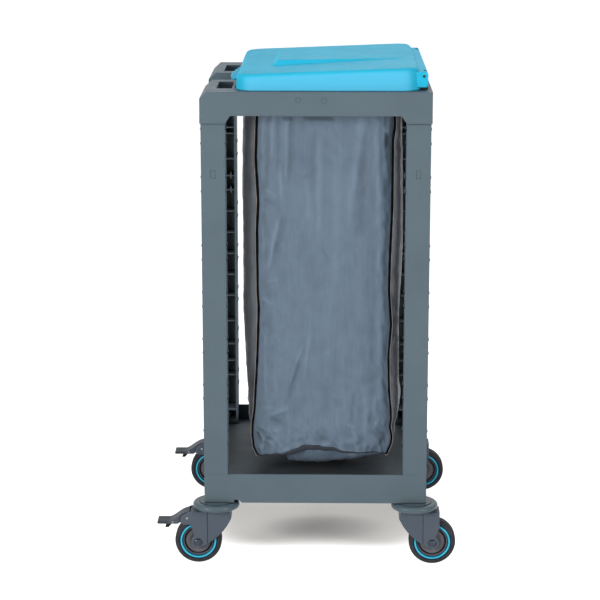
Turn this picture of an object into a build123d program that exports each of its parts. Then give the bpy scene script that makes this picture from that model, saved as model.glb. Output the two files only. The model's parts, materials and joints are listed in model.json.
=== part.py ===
from build123d import *

import os
from math import cos, radians, sin

# Waste collection cart. A tray on four castors carries four uprights and a top frame, in which a bag hangs under a
# hinged lid. Millimetres, +Z up, +X to the hinge end, +Y to the back. The pieces are modelled about the middle of
# the uprights and moved at the end, so that the origin lies on the ground in the middle of the cart's whole box.

# Clearances
PUSH_FIT = 0.2  # each side of a piece that is pushed into a socket
SEAT_FIT = 0.02  # radial, between pieces that turn together
RUNNING_FIT = 0.05  # radial, round a shaft that turns
AIR_GAP = 0.4  # between surfaces that pass or rest close to each other

# Uprights, over their outer faces
FRAME_WIDTH = 472.0
FRAME_DEPTH = 540.0
POST_WIDTH = 50.0
POST_DEPTH = 52.0
POST_HEIGHT = 750.0  # from the tray's rim to the top frame
POST_FLANGE = 5.0
POST_WEB = 4.0
SHOULDER = 5.0  # plate that closes the channel at each end
RIB_THICK = 2.5
RIB_RECESS = 14.0  # ladder ribs stay this far behind the channel's open side
RIB_PITCH = 50.0  # in the ladder's middle run
RIB_FIRST = 275.0  # lowest rib of that run above the tray's rim
RIB_COUNT = 6
LOW_RIBS = (83.0, 118.0, 158.0, 214.0)  # ribs under the run, above the tray's rim
HIGH_RIBS = (80.0, 94.0, 153.0)  # ribs over the run, below the top frame
HOOK_RIBS = (192.0, 225.0)  # ribs with hook webs, below the top frame
HOOK_WEB_PLACE = 11.5  # webs from the upright's middle
HOOK_WEB_WIDTH = 3.0
HOOK_WEB_HEIGHT = 14.0
BUMP_RADIUS = 3.0
BUMP_PROUD = 2.0
BUMP_LENGTH = 24.0
BUMP_PAIR = 30.0
BUMP_PITCH = 100.0
BUMP_FIRST = 63.0  # lowest bump above the tray's rim
BUMP_LAST = 13.0  # highest bump below the top frame
LOWER_PAIRS = 5
UPPER_PAIRS = 2
MARK_WIDTH = 10.0  # shallow oblong on each outer face
MARK_HEIGHT = 17.0
MARK_DEPTH = 0.6
MARK_DROP = 96.0  # its top edge below the top frame

# Castors
CASTOR_INSET_X = 24.0  # stem axis inside the uprights' outer faces
CASTOR_INSET_Y = 21.0
CASTOR_TRAIL = 38.5
WHEEL_RADIUS = 50.0
TYRE_WIDTH = 32.0
TREAD_WIDTH = 18.0
TYRE_INNER = 40.5
RING_INNER = 32.5
RING_BULGE = 3.0
HUB_LENGTH = 34.0
HUB_BOSS = 16.0
HUB_DISC = 26.0  # radius of the hub's raised face
HUB_FACE = 25.0  # thickness over that face
HUB_WEB = 10.0
HUB_RIM = 30.5  # inner radius of the hub's rim
BEARING_RADIUS = 11.0
BEARING_LENGTH = 8.0
BEARING_STOP = 9.0  # radius of the hub's bore between its two bearings
AXLE_RADIUS = 4.0
BOLT_HEAD = 4.5
BOLT_CHAMFER = 1.2
NUT_FLATS = 13.0
NUT_HEIGHT = 6.5
TYRE_SIDE_GAP = 2.5
WHEEL_WELL_GAP = 3.5
CHEEK = 4.0
CHEEK_PAD = 1.5  # the axle side of each cheek stands out by this
PAD_START = 19.0  # from the stem axis
FORK_BACK = 33.0  # reach of the fork behind the stem
FORK_BELLY = 10.0  # sagitta of its curved back
FORK_SHOULDER = 15.0  # height of the leaning back above the curve
FORK_LEAN = 3.0  # the back's top end before its widest place
LEG_ROOT = 36.0  # straight upper part of each leg above the axle
LEG_EASE = 10.0  # run-out of the leg's waist at both ends
LOBE_TURN = 40.0  # degrees from the level to the lobe's end, under the waist
FORK_EDGE = 3.0  # radius of its outer edges
AXLE_LOBE = 15.0
CROWN = 18.0  # from the wheel's top to the fork's top
STEM_RADIUS = 6.0
STEM_HEAD_RADIUS = 9.5
STEM_HEAD = 4.0
STEM_HEAD_SEAT = 14.5  # depth of the head's seat below the fork's top
STEM_NUT_FLATS = 19.0
STEM_NUT = 10.0
STEM_END = 3.0  # thread past the nut
RACE_RADIUS = 20.0
RACE_HEIGHT = 7.0
RACE_PROUD = 1.5
RACE_GROOVE = 1.6
BUMPER_RADIUS = 50.0
BUMPER_RIM = 7.0  # radius of the rounded rim
BUMPER_GAP = 2.0  # between rim and tray
BUMPER_BOSS = 36.0  # raised middle, which carries the tray
BUMPER_HUB = 26.0
BUMPER_HUB_DROP = 2.5

# Brakes on the left castors
PIVOT_REACH = 61.5  # from the stem axis
PIVOT_HEIGHT = 103.0
PIN_RADIUS = 1.8
PIN_HEAD_RADIUS = 2.8
PIN_HEAD = 1.2
EAR_REACH = 15.5  # ears of the fork past the pedal's pivot
EAR_DROP = 15.5
EAR_RISE = 10.0
EAR_CUT = 6.0
EAR_ROUND = 5.0
PEDAL_REACH = 126.0  # pedal tip from the stem axis
PEDAL_TIP = 94.0  # height of the pedal's upper face at its toe
PEDAL_THICK = 5.5
PEDAL_TOE = 24.0  # length of the level toe
PEDAL_SIDE_GAP = 0.6
PEDAL_HUB = 5.5
PEDAL_CREST = 13.0  # top of the pedal's back above its pivot
PEDAL_LEAD = 18.0  # how far the back runs on level from its crest
PEDAL_EASE = 12.0  # how far it comes in level to the toe
PEDAL_BELLY = 20.5  # deep part of the pedal, from its pivot
PEDAL_THROAT = 12.5  # where its underside has risen clear of the wheel
PEDAL_RISE = 9.3  # that place below the pivot
HOOK_START = 21.0  # under the toe, back from its tip
HOOK_WIDTH = 7.0
HOOK_SLANT = 4.0
HOOK_DROP = 7.5
TOE_PIN_REACH = 33.0  # small pin behind the toe, from its tip
TOE_PIN_DROP = 1.3  # below the toe's upper face
TOE_PIN_RADIUS = 1.3
TOE_PIN_HEAD_RADIUS = 2.1
SHOE_REACH = 7.4
SHOE_HALF = 0.8
SHOE_LEAD = 30.0  # degrees from the line of pivot and axle to the shoe's nose
SPRING_THICK = 0.8
SPRING_WIDTH = 16.0

# Base tray
TRAY_HEIGHT = 63.0
TRAY_SINK = 34.0  # floor below the rim
TRAY_WALL = 4.0
TRAY_FLOOR_THICK = 4.0
TRAY_CORNER = 3.0
TRAY_BOSS = 18.5
TRAY_RIB = 3.0
TRAY_RIB_DEPTH = 14.0
TRAY_RIBS = 3  # each way, under the floor
LOAD_STEP = 2.0  # load area above the floor that the uprights stand on
LOAD_MARGIN = 6.0  # load area inside the walls and the uprights
FOOT_PLATE = 12.0
SKIRT_NOTCH_PLACE = 63.0  # notch in the front skirt, from the left outer face
SKIRT_NOTCH_TOP = 9.0
SKIRT_NOTCH_WIDTH = 17.0
SKIRT_NOTCH_HEIGHT = 6.5

# Top frame
TOP_PROUD = 2.0  # stands out from the uprights
TOP_WALL = 4.0
TOP_SKIN = 4.0
RAIL_HEIGHT = 49.0
SOCKET_DROP = 16.0  # sockets reach below the rails
GUSSET = 11.0
HEAD_LENGTH = 44.0  # tenon of an upright in its socket
HEAD_BLOCK = 16.0
HEAD_BLOCK_LIFT = 18.0
SCREW_INSET = 12.0
SCREW_RADIUS = 2.5
SCREW_LENGTH = 24.0
SCREW_HEAD_RADIUS = 5.0
SCREW_HEAD = 3.5
DECK_WIDTH = 70.0  # grip end, at the left
HINGE_RAIL = 48.0  # hinge end, at the right
LONG_RAIL = 57.0  # front and back rails
OPENING_CORNER = 12.0
TOP_CORNER = 3.0
GRIP_CHAMFER_X = 15.0
GRIP_CHAMFER_Z = 14.0
GRIP_WIDTH = 32.0
HAND_WIDTH = 32.0
HAND_START = 95.0  # from the cart's middle plane
HAND_MARGIN = 6.0  # from the upright's inner face
HAND_CORNER = 4.0
NOTCH_DEPTH = 22.0
NOTCH_WIDTH = 104.0
NOTCH_FLARE = 12.0
NOTCH_ROUND = 6.0
LEDGE_WIDTH = 8.0
LEDGE_THICK = 4.0
LEDGE_DROP = 27.0  # top of the bag's ledge below the frame's top

# Lid
LID_GAP = 0.5  # above the top frame, when shut
LID_START = 3.0  # left end inside the bag opening's left edge
LID_LAP = 24.0  # right end past the bag opening's right edge
LID_SIDE = 17.0  # long sides inside the top frame's sides
LID_CORNER = 38.0
LID_LOW = 32.5  # height at the lift tab
LID_HIGH = 47.5  # height at the hinge
LID_EDGE = 13.0
LID_DRAFT = 3.0  # degrees that its walls lean in
LID_WALL = 3.0
PANEL_START = 72.0  # from the lid's left end
PANEL_END = 20.0  # from its right end
PANEL_RISE = 11.0
PANEL_HALF_LEFT = 118.0
PANEL_HALF_RIGHT = 76.0
PANEL_DRAFT = 1.2  # run of its side walls for each millimetre of rise
TAB_REACH = 18.0
TAB_HALF = 46.0
TAB_SINK = 4.0  # its lip hangs into the finger notch
TAB_LIP = 7.0
TAB_TIP = 8.0
TAB_ROOT = 17.0
TAB_RIDGES = 3
TAB_RIDGE_MARGIN = 4.0  # ridges stop this far inside the tab's ends
TAB_RIDGE_RADIUS = 1.9

# Lid hinge
HINGE_OVERHANG = 7.0  # axis beyond the lid's right end
HINGE_HEIGHT = 29.0  # axis above the top frame
HINGE_PIN_RADIUS = 3.0
HINGE_PIN_LENGTH = 60.0
HINGE_PIN_RECESS = 2.0
BARREL_INSET = 15.0  # each end inside the lid's long side
BARREL_ROOT = 12.0  # runs in to the lid's rounded corners
BARREL_REACH = 8.5  # from the axis
BARREL_DROP = 22.5
BARREL_RISE = 8.5
BARREL_ROUND = 5.0
BARREL_CORE = 9.0
BARREL_SOLID = 70.0  # length at each end that isn't cored
LUG_RADIUS = 7.0
LUG_BASE = 20.0
LUG_THICK = 20.0
LUG_INSET = 30.0  # middle of a lug from the barrel's end

# Bag and hoop
HOOP_RADIUS = 3.0
HOOP_CORNER = 20.0
BAG_WALL = 2.0
BAG_SIDE_GAP = 8.0  # bulging sides inside the opening's edges
BAG_FACE_GAP = 12.0  # front and back panels inside the opening's edges
BAG_CORNER_WIDTH = 28.0  # each rounded corner, along the front panel
BAG_CORNER_LENGTH = 103.0  # each rounded corner, along the side
BAG_MOUTH_CORNER = 30.0
BAG_NECK = 30.0  # below the ledge, where the mouth widens
BAG_LIFT = 47.0  # lowest part above the tray's floor
BAG_HEM = 3.0
BAG_BASE_RISE = 16.0  # edges of the base above its middle
BAG_BASE_INSET = 22.0

# Heights above the ground, from the wheels up
FORK_TOP = 2 * WHEEL_RADIUS + CROWN
BUMPER_BOTTOM = FORK_TOP + RACE_PROUD
TRAY_BOTTOM = BUMPER_BOTTOM + BUMPER_HUB_DROP + 2 * BUMPER_RIM + BUMPER_GAP
TRAY_TOP = TRAY_BOTTOM + TRAY_HEIGHT
TRAY_FLOOR = TRAY_TOP - TRAY_SINK
POST_TOP = TRAY_TOP + POST_HEIGHT
RAIL_BOTTOM = POST_TOP + SOCKET_DROP
FRAME_TOP = RAIL_BOTTOM + RAIL_HEIGHT
LEDGE_TOP = FRAME_TOP - LEDGE_DROP
LID_BOTTOM = FRAME_TOP + LID_GAP
HINGE_Z = FRAME_TOP + HINGE_HEIGHT
HOOP_Z = LEDGE_TOP + AIR_GAP + HOOP_RADIUS
HEM_Z = HOOP_Z + HOOP_RADIUS + AIR_GAP
BAG_BOTTOM = TRAY_FLOOR + BAG_LIFT

# Places across the cart
HALF_WIDTH = FRAME_WIDTH / 2
HALF_DEPTH = FRAME_DEPTH / 2
CASTOR_X = HALF_WIDTH - CASTOR_INSET_X
CASTOR_Y = HALF_DEPTH - CASTOR_INSET_Y
TOP_HALF_WIDTH = HALF_WIDTH + TOP_PROUD
TOP_HALF_DEPTH = HALF_DEPTH + TOP_PROUD
OPENING_LEFT = DECK_WIDTH - TOP_HALF_WIDTH
OPENING_RIGHT = TOP_HALF_WIDTH - HINGE_RAIL
OPENING_HALF = TOP_HALF_DEPTH - LONG_RAIL
OPENING_MIDDLE = (OPENING_LEFT + OPENING_RIGHT) / 2
LID_LEFT = OPENING_LEFT + LID_START
LID_RIGHT = OPENING_RIGHT + LID_LAP
LID_LENGTH = LID_RIGHT - LID_LEFT
LID_HALF = TOP_HALF_DEPTH - LID_SIDE
HINGE_X = LID_RIGHT + HINGE_OVERHANG
BARREL_HALF = LID_HALF - BARREL_INSET
LUG_PLACE = BARREL_HALF - LUG_INSET
HAND_END = HALF_DEPTH - POST_DEPTH - HAND_MARGIN
BAG_SIDE_HALF = (OPENING_RIGHT - OPENING_LEFT) / 2 - BAG_SIDE_GAP
BAG_FRONT_HALF = BAG_SIDE_HALF - BAG_CORNER_WIDTH
BAG_HALF_DEPTH = OPENING_HALF - BAG_FACE_GAP
BAG_SIDE_FLAT = BAG_HALF_DEPTH - BAG_CORNER_LENGTH
WHEEL_HALF = TYRE_WIDTH / 2
WELL_HALF = WHEEL_HALF + TYRE_SIDE_GAP
FORK_HALF = WELL_HALF + CHEEK
PAD_HALF = FORK_HALF + CHEEK_PAD
PEDAL_HALF = WELL_HALF - PEDAL_SIDE_GAP

# The cart's box runs from the pedal tips to the right-hand tyres, so its middle is off the uprights' middle.
MIDDLE_X = (PEDAL_REACH - CASTOR_TRAIL - WHEEL_RADIUS) / 2

# Corner name to the sides of the cart that it lies on
CORNERS = {"front_left": (-1, -1), "front_right": (1, -1), "rear_left": (-1, 1), "rear_right": (1, 1)}
BRAKED = ("front_left", "rear_left")


def block(x0, x1, y0, y1, z0, z1):
    """Box between two corners."""
    box = Box(x1 - x0, y1 - y0, z1 - z0, align=(Align.MIN, Align.MIN, Align.MIN))
    return Pos(x0, y0, z0) * box


def rounded_block(x0, x1, y0, y1, z0, z1, radius):
    """Box between two corners with rounded upright edges."""
    plan = RectangleRounded(x1 - x0, y1 - y0, radius)
    return extrude(Pos((x0 + x1) / 2, (y0 + y1) / 2, z0) * plan, z1 - z0)


def side_prism(points, y0, y1):
    """Outline in X and Z, drawn out along Y."""
    outline = make_face(Polyline(*points, close=True))
    face = Plane(origin=(0, y0, 0), x_dir=(1, 0, 0), z_dir=(0, -1, 0)) * outline
    return extrude(face, y0 - y1)


def end_prism(sketch, x0, x1):
    """Sketch in Y and Z, drawn out along X."""
    face = Plane(origin=(x0, 0, 0), x_dir=(0, 1, 0), z_dir=(1, 0, 0)) * sketch
    return extrude(face, x1 - x0)


def turned(points):
    """Closed outline in radius and height, revolved about the Z axis."""
    outline = make_face(Polyline(*points, close=True))
    return revolve(Plane.XZ * outline, Axis.Z)


def crosswise(part, x, z):
    """Part made along Z, laid along Y at a place in X and Z."""
    return Pos(x, 0, z) * Rot(90, 0, 0) * part


def mirrored(part, sides):
    """Piece of the front left corner, mirrored to another corner."""
    if sides[0] > 0:
        part = mirror(part, about=Plane.YZ)
    if sides[1] > 0:
        part = mirror(part, about=Plane.XZ)
    return part


# Uprights


def channel(x0, x1, y0, y1, z0, z1):
    """Length of upright, closed at the front and the sides and open to the back."""
    inside = block(x0 + POST_FLANGE, x1 - POST_FLANGE, y0 + POST_WEB, y1 + POST_WEB, z0, z1)
    return block(x0, x1, y0, y1, z0, z1) - inside


def bump_heights():
    """Heights of the bumps on the sides of an upright, in pairs counted from both ends."""
    lower = [TRAY_TOP + BUMP_FIRST + i * BUMP_PITCH for i in range(LOWER_PAIRS)]
    upper = [POST_TOP - BUMP_LAST - BUMP_PAIR - i * BUMP_PITCH for i in range(UPPER_PAIRS)]
    return [z + step for z in lower + upper for step in (0, BUMP_PAIR)]


def rib_heights():
    """Heights of the ladder ribs in an upright's channel."""
    run = [TRAY_TOP + RIB_FIRST + i * RIB_PITCH for i in range(RIB_COUNT - 1)]
    low = [TRAY_TOP + rise for rise in LOW_RIBS]
    high = [POST_TOP - drop for drop in HIGH_RIBS + HOOK_RIBS]
    return low + run + high


def make_post():
    """Front left upright, with its outer corner on the Z axis."""
    foot_edge = TRAY_WALL + PUSH_FIT
    head_edge = TOP_WALL - TOP_PROUD + PUSH_FIT
    head_width = POST_WIDTH - TOP_WALL - PUSH_FIT
    head_depth = POST_DEPTH - TOP_WALL - PUSH_FIT
    head_top = POST_TOP + HEAD_LENGTH
    stem_hole = Cylinder(STEM_RADIUS + PUSH_FIT, FOOT_PLATE, align=(Align.CENTER, Align.CENTER, Align.MIN))
    pilot_height = POST_TOP + HEAD_BLOCK_LIFT + HEAD_BLOCK / 2

    post = channel(0, POST_WIDTH, 0, POST_DEPTH, TRAY_TOP, POST_TOP)
    post += channel(foot_edge, POST_WIDTH, foot_edge, POST_DEPTH, TRAY_FLOOR, TRAY_TOP)
    post += block(foot_edge, POST_WIDTH, foot_edge, POST_DEPTH, TRAY_FLOOR, TRAY_FLOOR + FOOT_PLATE)
    post += channel(head_edge, head_width, head_edge, head_depth, POST_TOP, head_top)
    post += block(head_edge, head_width, head_edge, head_depth, pilot_height - HEAD_BLOCK / 2,
                  pilot_height + HEAD_BLOCK / 2)
    post += block(0, POST_WIDTH, 0, POST_DEPTH, TRAY_TOP, TRAY_TOP + SHOULDER)
    post += block(0, POST_WIDTH, 0, POST_DEPTH, POST_TOP - SHOULDER, POST_TOP)

    rib_edge = POST_DEPTH - RIB_RECESS
    for z in rib_heights():
        post += block(POST_FLANGE, POST_WIDTH - POST_FLANGE, POST_WEB, rib_edge, z - RIB_THICK / 2, z + RIB_THICK / 2)
    for drop in HOOK_RIBS:
        for x in (POST_WIDTH / 2 - HOOK_WEB_PLACE, POST_WIDTH / 2 + HOOK_WEB_PLACE):
            z = POST_TOP - drop
            post += block(x - HOOK_WEB_WIDTH / 2, x + HOOK_WEB_WIDTH / 2, POST_WEB, rib_edge,
                          z - HOOK_WEB_HEIGHT / 2, z + HOOK_WEB_HEIGHT / 2)

    sunk = BUMP_RADIUS - BUMP_PROUD
    bumps = []
    for z in bump_heights():
        for x in (sunk, POST_WIDTH - sunk):
            bumps.append(Pos(0, POST_DEPTH / 2, 0) * crosswise(Cylinder(BUMP_RADIUS, BUMP_LENGTH), x, z))
    post += bumps

    mark_top = POST_TOP - MARK_DROP
    post -= block((POST_WIDTH - MARK_WIDTH) / 2, (POST_WIDTH + MARK_WIDTH) / 2, 0, MARK_DEPTH,
                  mark_top - MARK_HEIGHT, mark_top)
    post -= Pos(CASTOR_INSET_X, CASTOR_INSET_Y, TRAY_FLOOR) * stem_hole
    pilot = crosswise(Cylinder(SCREW_RADIUS + SEAT_FIT, 2 * SCREW_LENGTH), SCREW_INSET, pilot_height)
    post -= Pos(0, head_depth, 0) * pilot
    return post


def post_screw():
    """Screw that holds the front left upright in its socket, along Y from the inside."""
    seat = POST_DEPTH + TOP_WALL
    shank = Cylinder(SCREW_RADIUS, SCREW_LENGTH, align=(Align.CENTER, Align.CENTER, Align.MIN))
    head = Cylinder(SCREW_HEAD_RADIUS, SCREW_HEAD, align=(Align.CENTER, Align.CENTER, Align.MAX))
    height = POST_TOP + HEAD_BLOCK_LIFT + HEAD_BLOCK / 2
    return Pos(0, seat, 0) * crosswise(shank + head, SCREW_INSET, height)


# Base tray


def make_tray():
    """Moulded tray: sunk floor with a raised load area, skirt, bosses for the castor stems, ribs underneath."""
    inner_w = HALF_WIDTH - TRAY_WALL
    inner_d = HALF_DEPTH - TRAY_WALL
    under = TRAY_FLOOR - TRAY_FLOOR_THICK
    tray = rounded_block(-HALF_WIDTH, HALF_WIDTH, -HALF_DEPTH, HALF_DEPTH, TRAY_BOTTOM, TRAY_TOP, TRAY_CORNER)
    tray -= block(-inner_w, inner_w, -inner_d, inner_d, TRAY_FLOOR, TRAY_TOP)
    tray -= block(-inner_w, inner_w, -inner_d, inner_d, TRAY_BOTTOM, under)

    load_w = inner_w - LOAD_MARGIN
    load_d = HALF_DEPTH - POST_DEPTH - LOAD_MARGIN
    tray += block(-load_w, load_w, -load_d, load_d, TRAY_FLOOR, TRAY_FLOOR + LOAD_STEP)

    for i in range(TRAY_RIBS):
        share = (i + 1) / (TRAY_RIBS + 1) * 2 - 1
        x = share * inner_w
        y = share * inner_d
        tray += block(x - TRAY_RIB / 2, x + TRAY_RIB / 2, -inner_d, inner_d, under - TRAY_RIB_DEPTH, under)
        tray += block(-inner_w, inner_w, y - TRAY_RIB / 2, y + TRAY_RIB / 2, under - TRAY_RIB_DEPTH, under)

    boss = Cylinder(TRAY_BOSS, under - TRAY_BOTTOM, align=(Align.CENTER, Align.CENTER, Align.MIN))
    bore = Cylinder(STEM_RADIUS + PUSH_FIT, TRAY_HEIGHT, align=(Align.CENTER, Align.CENTER, Align.MIN))
    limits = block(-HALF_WIDTH, HALF_WIDTH, -HALF_DEPTH, HALF_DEPTH, TRAY_BOTTOM, under)
    for sides in CORNERS.values():
        place = Pos(sides[0] * CASTOR_X, sides[1] * CASTOR_Y, TRAY_BOTTOM)
        tray += place * boss & limits
        tray -= place * bore

    notch_left = SKIRT_NOTCH_PLACE - HALF_WIDTH
    notch_top = TRAY_BOTTOM + SKIRT_NOTCH_HEIGHT
    tray -= side_prism([(notch_left, TRAY_BOTTOM), (notch_left + SKIRT_NOTCH_WIDTH, TRAY_BOTTOM),
                        (notch_left + SKIRT_NOTCH_TOP, notch_top), (notch_left, notch_top)],
                       -HALF_DEPTH, -inner_d)
    return tray


# Top frame


def socket(sides):
    """Corner socket below the rails, with gussets along both rails."""
    z0, z1 = POST_TOP, RAIL_BOTTOM
    left, front = -TOP_HALF_WIDTH, -TOP_HALF_DEPTH
    inner_x = POST_WIDTH - HALF_WIDTH
    inner_y = POST_DEPTH - HALF_DEPTH
    along_front = side_prism([(left, z0), (inner_x, z0), (inner_x + GUSSET, z1), (left, z1)], front, inner_y)
    outline = make_face(Polyline((front, z0), (inner_y, z0), (inner_y + GUSSET, z1), (front, z1), close=True))
    along_side = end_prism(outline, left, inner_x)
    return mirrored(along_front + along_side, sides)


def deck_hollow():
    """Space under the grip deck, lower under the finger notch."""
    left = TOP_WALL - TOP_HALF_WIDTH
    right = OPENING_LEFT - TOP_WALL
    top = FRAME_TOP - TOP_SKIN
    slope = (left + GRIP_CHAMFER_X, top)
    outline = [(left, RAIL_BOTTOM), (left, top - GRIP_CHAMFER_Z), slope, (right, top), (right, RAIL_BOTTOM)]
    end = POST_DEPTH - HALF_DEPTH + TOP_WALL
    start = NOTCH_WIDTH / 2 + NOTCH_FLARE + TOP_WALL
    hollow = side_prism(outline, end, -start) + side_prism(outline, start, -end)
    return hollow + block(left, right, -start, start, RAIL_BOTTOM, top - NOTCH_DEPTH)


def finger_notch():
    """Dip in the middle of the grip deck, which leaves room for fingers under the lid's tab."""
    half = NOTCH_WIDTH / 2
    floor = FRAME_TOP - NOTCH_DEPTH
    outline = Polyline((-half - NOTCH_FLARE, FRAME_TOP), (-half, floor), (half, floor),
                       (half + NOTCH_FLARE, FRAME_TOP), close=True)
    sketch = make_face(outline)
    sketch = fillet(sketch.vertices().group_by(Axis.Y)[0], NOTCH_ROUND)
    return end_prism(sketch, -TOP_HALF_WIDTH, OPENING_LEFT - TOP_WALL)


def hinge_lug():
    """Ear of the top frame that carries one hinge pin, in the cart's middle plane."""
    ear = Pos(HINGE_X, HINGE_Z) * Circle(LUG_RADIUS)
    base = FRAME_TOP - TOP_SKIN
    neck = make_face(Polyline((HINGE_X - LUG_BASE / 2, base), (HINGE_X + LUG_BASE / 2, base),
                              (HINGE_X + LUG_RADIUS, HINGE_Z), (HINGE_X - LUG_RADIUS, HINGE_Z), close=True))
    pin_hole = Pos(HINGE_X, HINGE_Z) * Circle(HINGE_PIN_RADIUS + SEAT_FIT)
    return extrude(Plane.XZ * (ear + neck - pin_hole), LUG_THICK / 2, both=True)


def make_top_frame():
    """Four hollow rails round the bag's opening, with sockets, a grip deck, a bag ledge and hinge lugs."""
    frame = rounded_block(-TOP_HALF_WIDTH, TOP_HALF_WIDTH, -TOP_HALF_DEPTH, TOP_HALF_DEPTH, RAIL_BOTTOM, FRAME_TOP,
                          TOP_CORNER)
    frame -= rounded_block(OPENING_LEFT, OPENING_RIGHT, -OPENING_HALF, OPENING_HALF, RAIL_BOTTOM, FRAME_TOP,
                           OPENING_CORNER)
    for sides in CORNERS.values():
        frame += socket(sides)

    chamfer_low = (-TOP_HALF_WIDTH, FRAME_TOP - GRIP_CHAMFER_Z)
    chamfer_high = (GRIP_CHAMFER_X - TOP_HALF_WIDTH, FRAME_TOP)
    corner = (-TOP_HALF_WIDTH, FRAME_TOP)
    frame -= side_prism([chamfer_low, chamfer_high, corner], -TOP_HALF_DEPTH, TOP_HALF_DEPTH)
    frame -= finger_notch()

    skin = FRAME_TOP - TOP_SKIN
    rail_end = HALF_WIDTH - POST_WIDTH - TOP_WALL
    end_wall = HALF_DEPTH - POST_DEPTH - TOP_WALL
    rail_hollow = block(-rail_end, rail_end, TOP_WALL - TOP_HALF_DEPTH, -OPENING_HALF - TOP_WALL, RAIL_BOTTOM, skin)
    frame -= rail_hollow
    frame -= mirror(rail_hollow, about=Plane.XZ)
    frame -= block(OPENING_RIGHT + TOP_WALL, TOP_HALF_WIDTH - TOP_WALL, -end_wall, end_wall, RAIL_BOTTOM, skin)
    frame -= deck_hollow()

    hand_left = GRIP_WIDTH - TOP_HALF_WIDTH
    hand_right = hand_left + HAND_WIDTH
    for side in (-1, 1):
        y0, y1 = sorted((side * HAND_START, side * HAND_END))
        frame += block(hand_left - TOP_WALL, hand_right + TOP_WALL, y0 - TOP_WALL, y1 + TOP_WALL, RAIL_BOTTOM, skin)
        frame -= rounded_block(hand_left, hand_right, y0, y1, RAIL_BOTTOM, FRAME_TOP, HAND_CORNER)
        frame += Pos(0, side * LUG_PLACE, 0) * hinge_lug()

    ledge = rounded_block(OPENING_LEFT, OPENING_RIGHT, -OPENING_HALF, OPENING_HALF, LEDGE_TOP - LEDGE_THICK, LEDGE_TOP,
                          OPENING_CORNER)
    ledge -= rounded_block(OPENING_LEFT + LEDGE_WIDTH, OPENING_RIGHT - LEDGE_WIDTH, LEDGE_WIDTH - OPENING_HALF,
                           OPENING_HALF - LEDGE_WIDTH, LEDGE_TOP - LEDGE_THICK, LEDGE_TOP, OPENING_CORNER)
    frame += ledge

    tenon_hole = block(-HALF_WIDTH - TOP_PROUD + TOP_WALL, POST_WIDTH - TOP_WALL - HALF_WIDTH,
                       -HALF_DEPTH - TOP_PROUD + TOP_WALL, POST_DEPTH - TOP_WALL - HALF_DEPTH,
                       POST_TOP, POST_TOP + HEAD_LENGTH + AIR_GAP)
    screw_hole = crosswise(Cylinder(SCREW_RADIUS + PUSH_FIT, 4 * TOP_WALL), SCREW_INSET - HALF_WIDTH,
                           POST_TOP + HEAD_BLOCK_LIFT + HEAD_BLOCK / 2)
    screw_hole = Pos(0, POST_DEPTH - HALF_DEPTH, 0) * screw_hole
    for sides in CORNERS.values():
        frame -= mirrored(tenon_hole, sides)
        frame -= mirrored(screw_hole, sides)
    return frame


# Lid


def border_height(x):
    """Height of the lid's sloping border above the ground."""
    return LID_BOTTOM + LID_LOW + (LID_HIGH - LID_LOW) * (x - LID_LEFT) / LID_LENGTH


def panel_outline(z, inset):
    """Plan of the raised panel's walls at a height."""
    base = border_height(LID_LEFT + PANEL_START)
    shift = (z - base) * PANEL_DRAFT + inset
    x0 = LID_LEFT + PANEL_START + shift
    x1 = LID_RIGHT - PANEL_END
    left, right = PANEL_HALF_LEFT - shift, PANEL_HALF_RIGHT - shift
    outline = Polyline((x0, -left), (x1, -right), (x1, right), (x0, left), close=True)
    return Pos(0, 0, z) * make_face(outline)


def raised_panel(inset):
    """Wedge on the lid, level on top, which runs out into the border near the hinge."""
    x0 = LID_LEFT + PANEL_START
    x1 = LID_RIGHT - PANEL_END
    low = LID_BOTTOM + LID_WALL
    walls = loft([panel_outline(low, inset), panel_outline(border_height(x0) + 2 * PANEL_RISE, inset)])
    top_left = border_height(x0) + PANEL_RISE - inset
    top_right = border_height(x1) - inset
    reach = PANEL_HALF_LEFT * 2
    edge = LID_LEFT
    edge_top = top_left + (edge - x0) * (top_right - top_left) / (x1 - x0)
    below = side_prism([(edge, low), (x1, low), (x1, top_right), (edge, edge_top)], -reach, reach)
    return walls & below


def lid_form(inset):
    """Lid as a full solid, drawn in by an inset."""
    half = LID_HALF - inset
    x0, x1 = LID_LEFT + inset, LID_RIGHT - inset
    plan = Pos((x0 + x1) / 2, 0, LID_BOTTOM) * RectangleRounded(x1 - x0, 2 * half, LID_CORNER - inset)
    form = extrude(plan, LID_HIGH + LID_EDGE, taper=LID_DRAFT)
    below = [(x0, LID_BOTTOM), (x1, LID_BOTTOM), (x1, border_height(x1) - inset), (x0, border_height(x0) - inset)]
    form &= side_prism(below, -half, half)
    form = fillet(form.faces().sort_by(Axis.Z)[-1].edges(), LID_EDGE - inset)
    return form + raised_panel(inset)


def hinge_barrel():
    """Rounded bar along the lid's right end, cored from below and bored for the pins."""
    left = LID_RIGHT - BARREL_ROOT
    right = HINGE_X + BARREL_REACH
    bottom = HINGE_Z - BARREL_DROP
    top = HINGE_Z + BARREL_RISE
    section = make_face(Polyline((left, bottom), (right, bottom), (right, top), (left, top), close=True))
    section = fillet(section.vertices().group_by(Axis.X)[-1], BARREL_ROUND)
    barrel = extrude(Plane.XZ * section, BARREL_HALF, both=True)
    core = BARREL_HALF - BARREL_SOLID
    barrel -= block(LID_RIGHT, right - LID_WALL, -core, core, bottom, HINGE_Z - BARREL_CORE)
    depth = HINGE_PIN_RECESS + HINGE_PIN_LENGTH + AIR_GAP
    bore = Cylinder(HINGE_PIN_RADIUS + RUNNING_FIT, depth)
    for side in (-1, 1):
        barrel -= Pos(0, side * (BARREL_HALF - depth / 2), 0) * crosswise(bore, HINGE_X, HINGE_Z)
    return barrel


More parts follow.
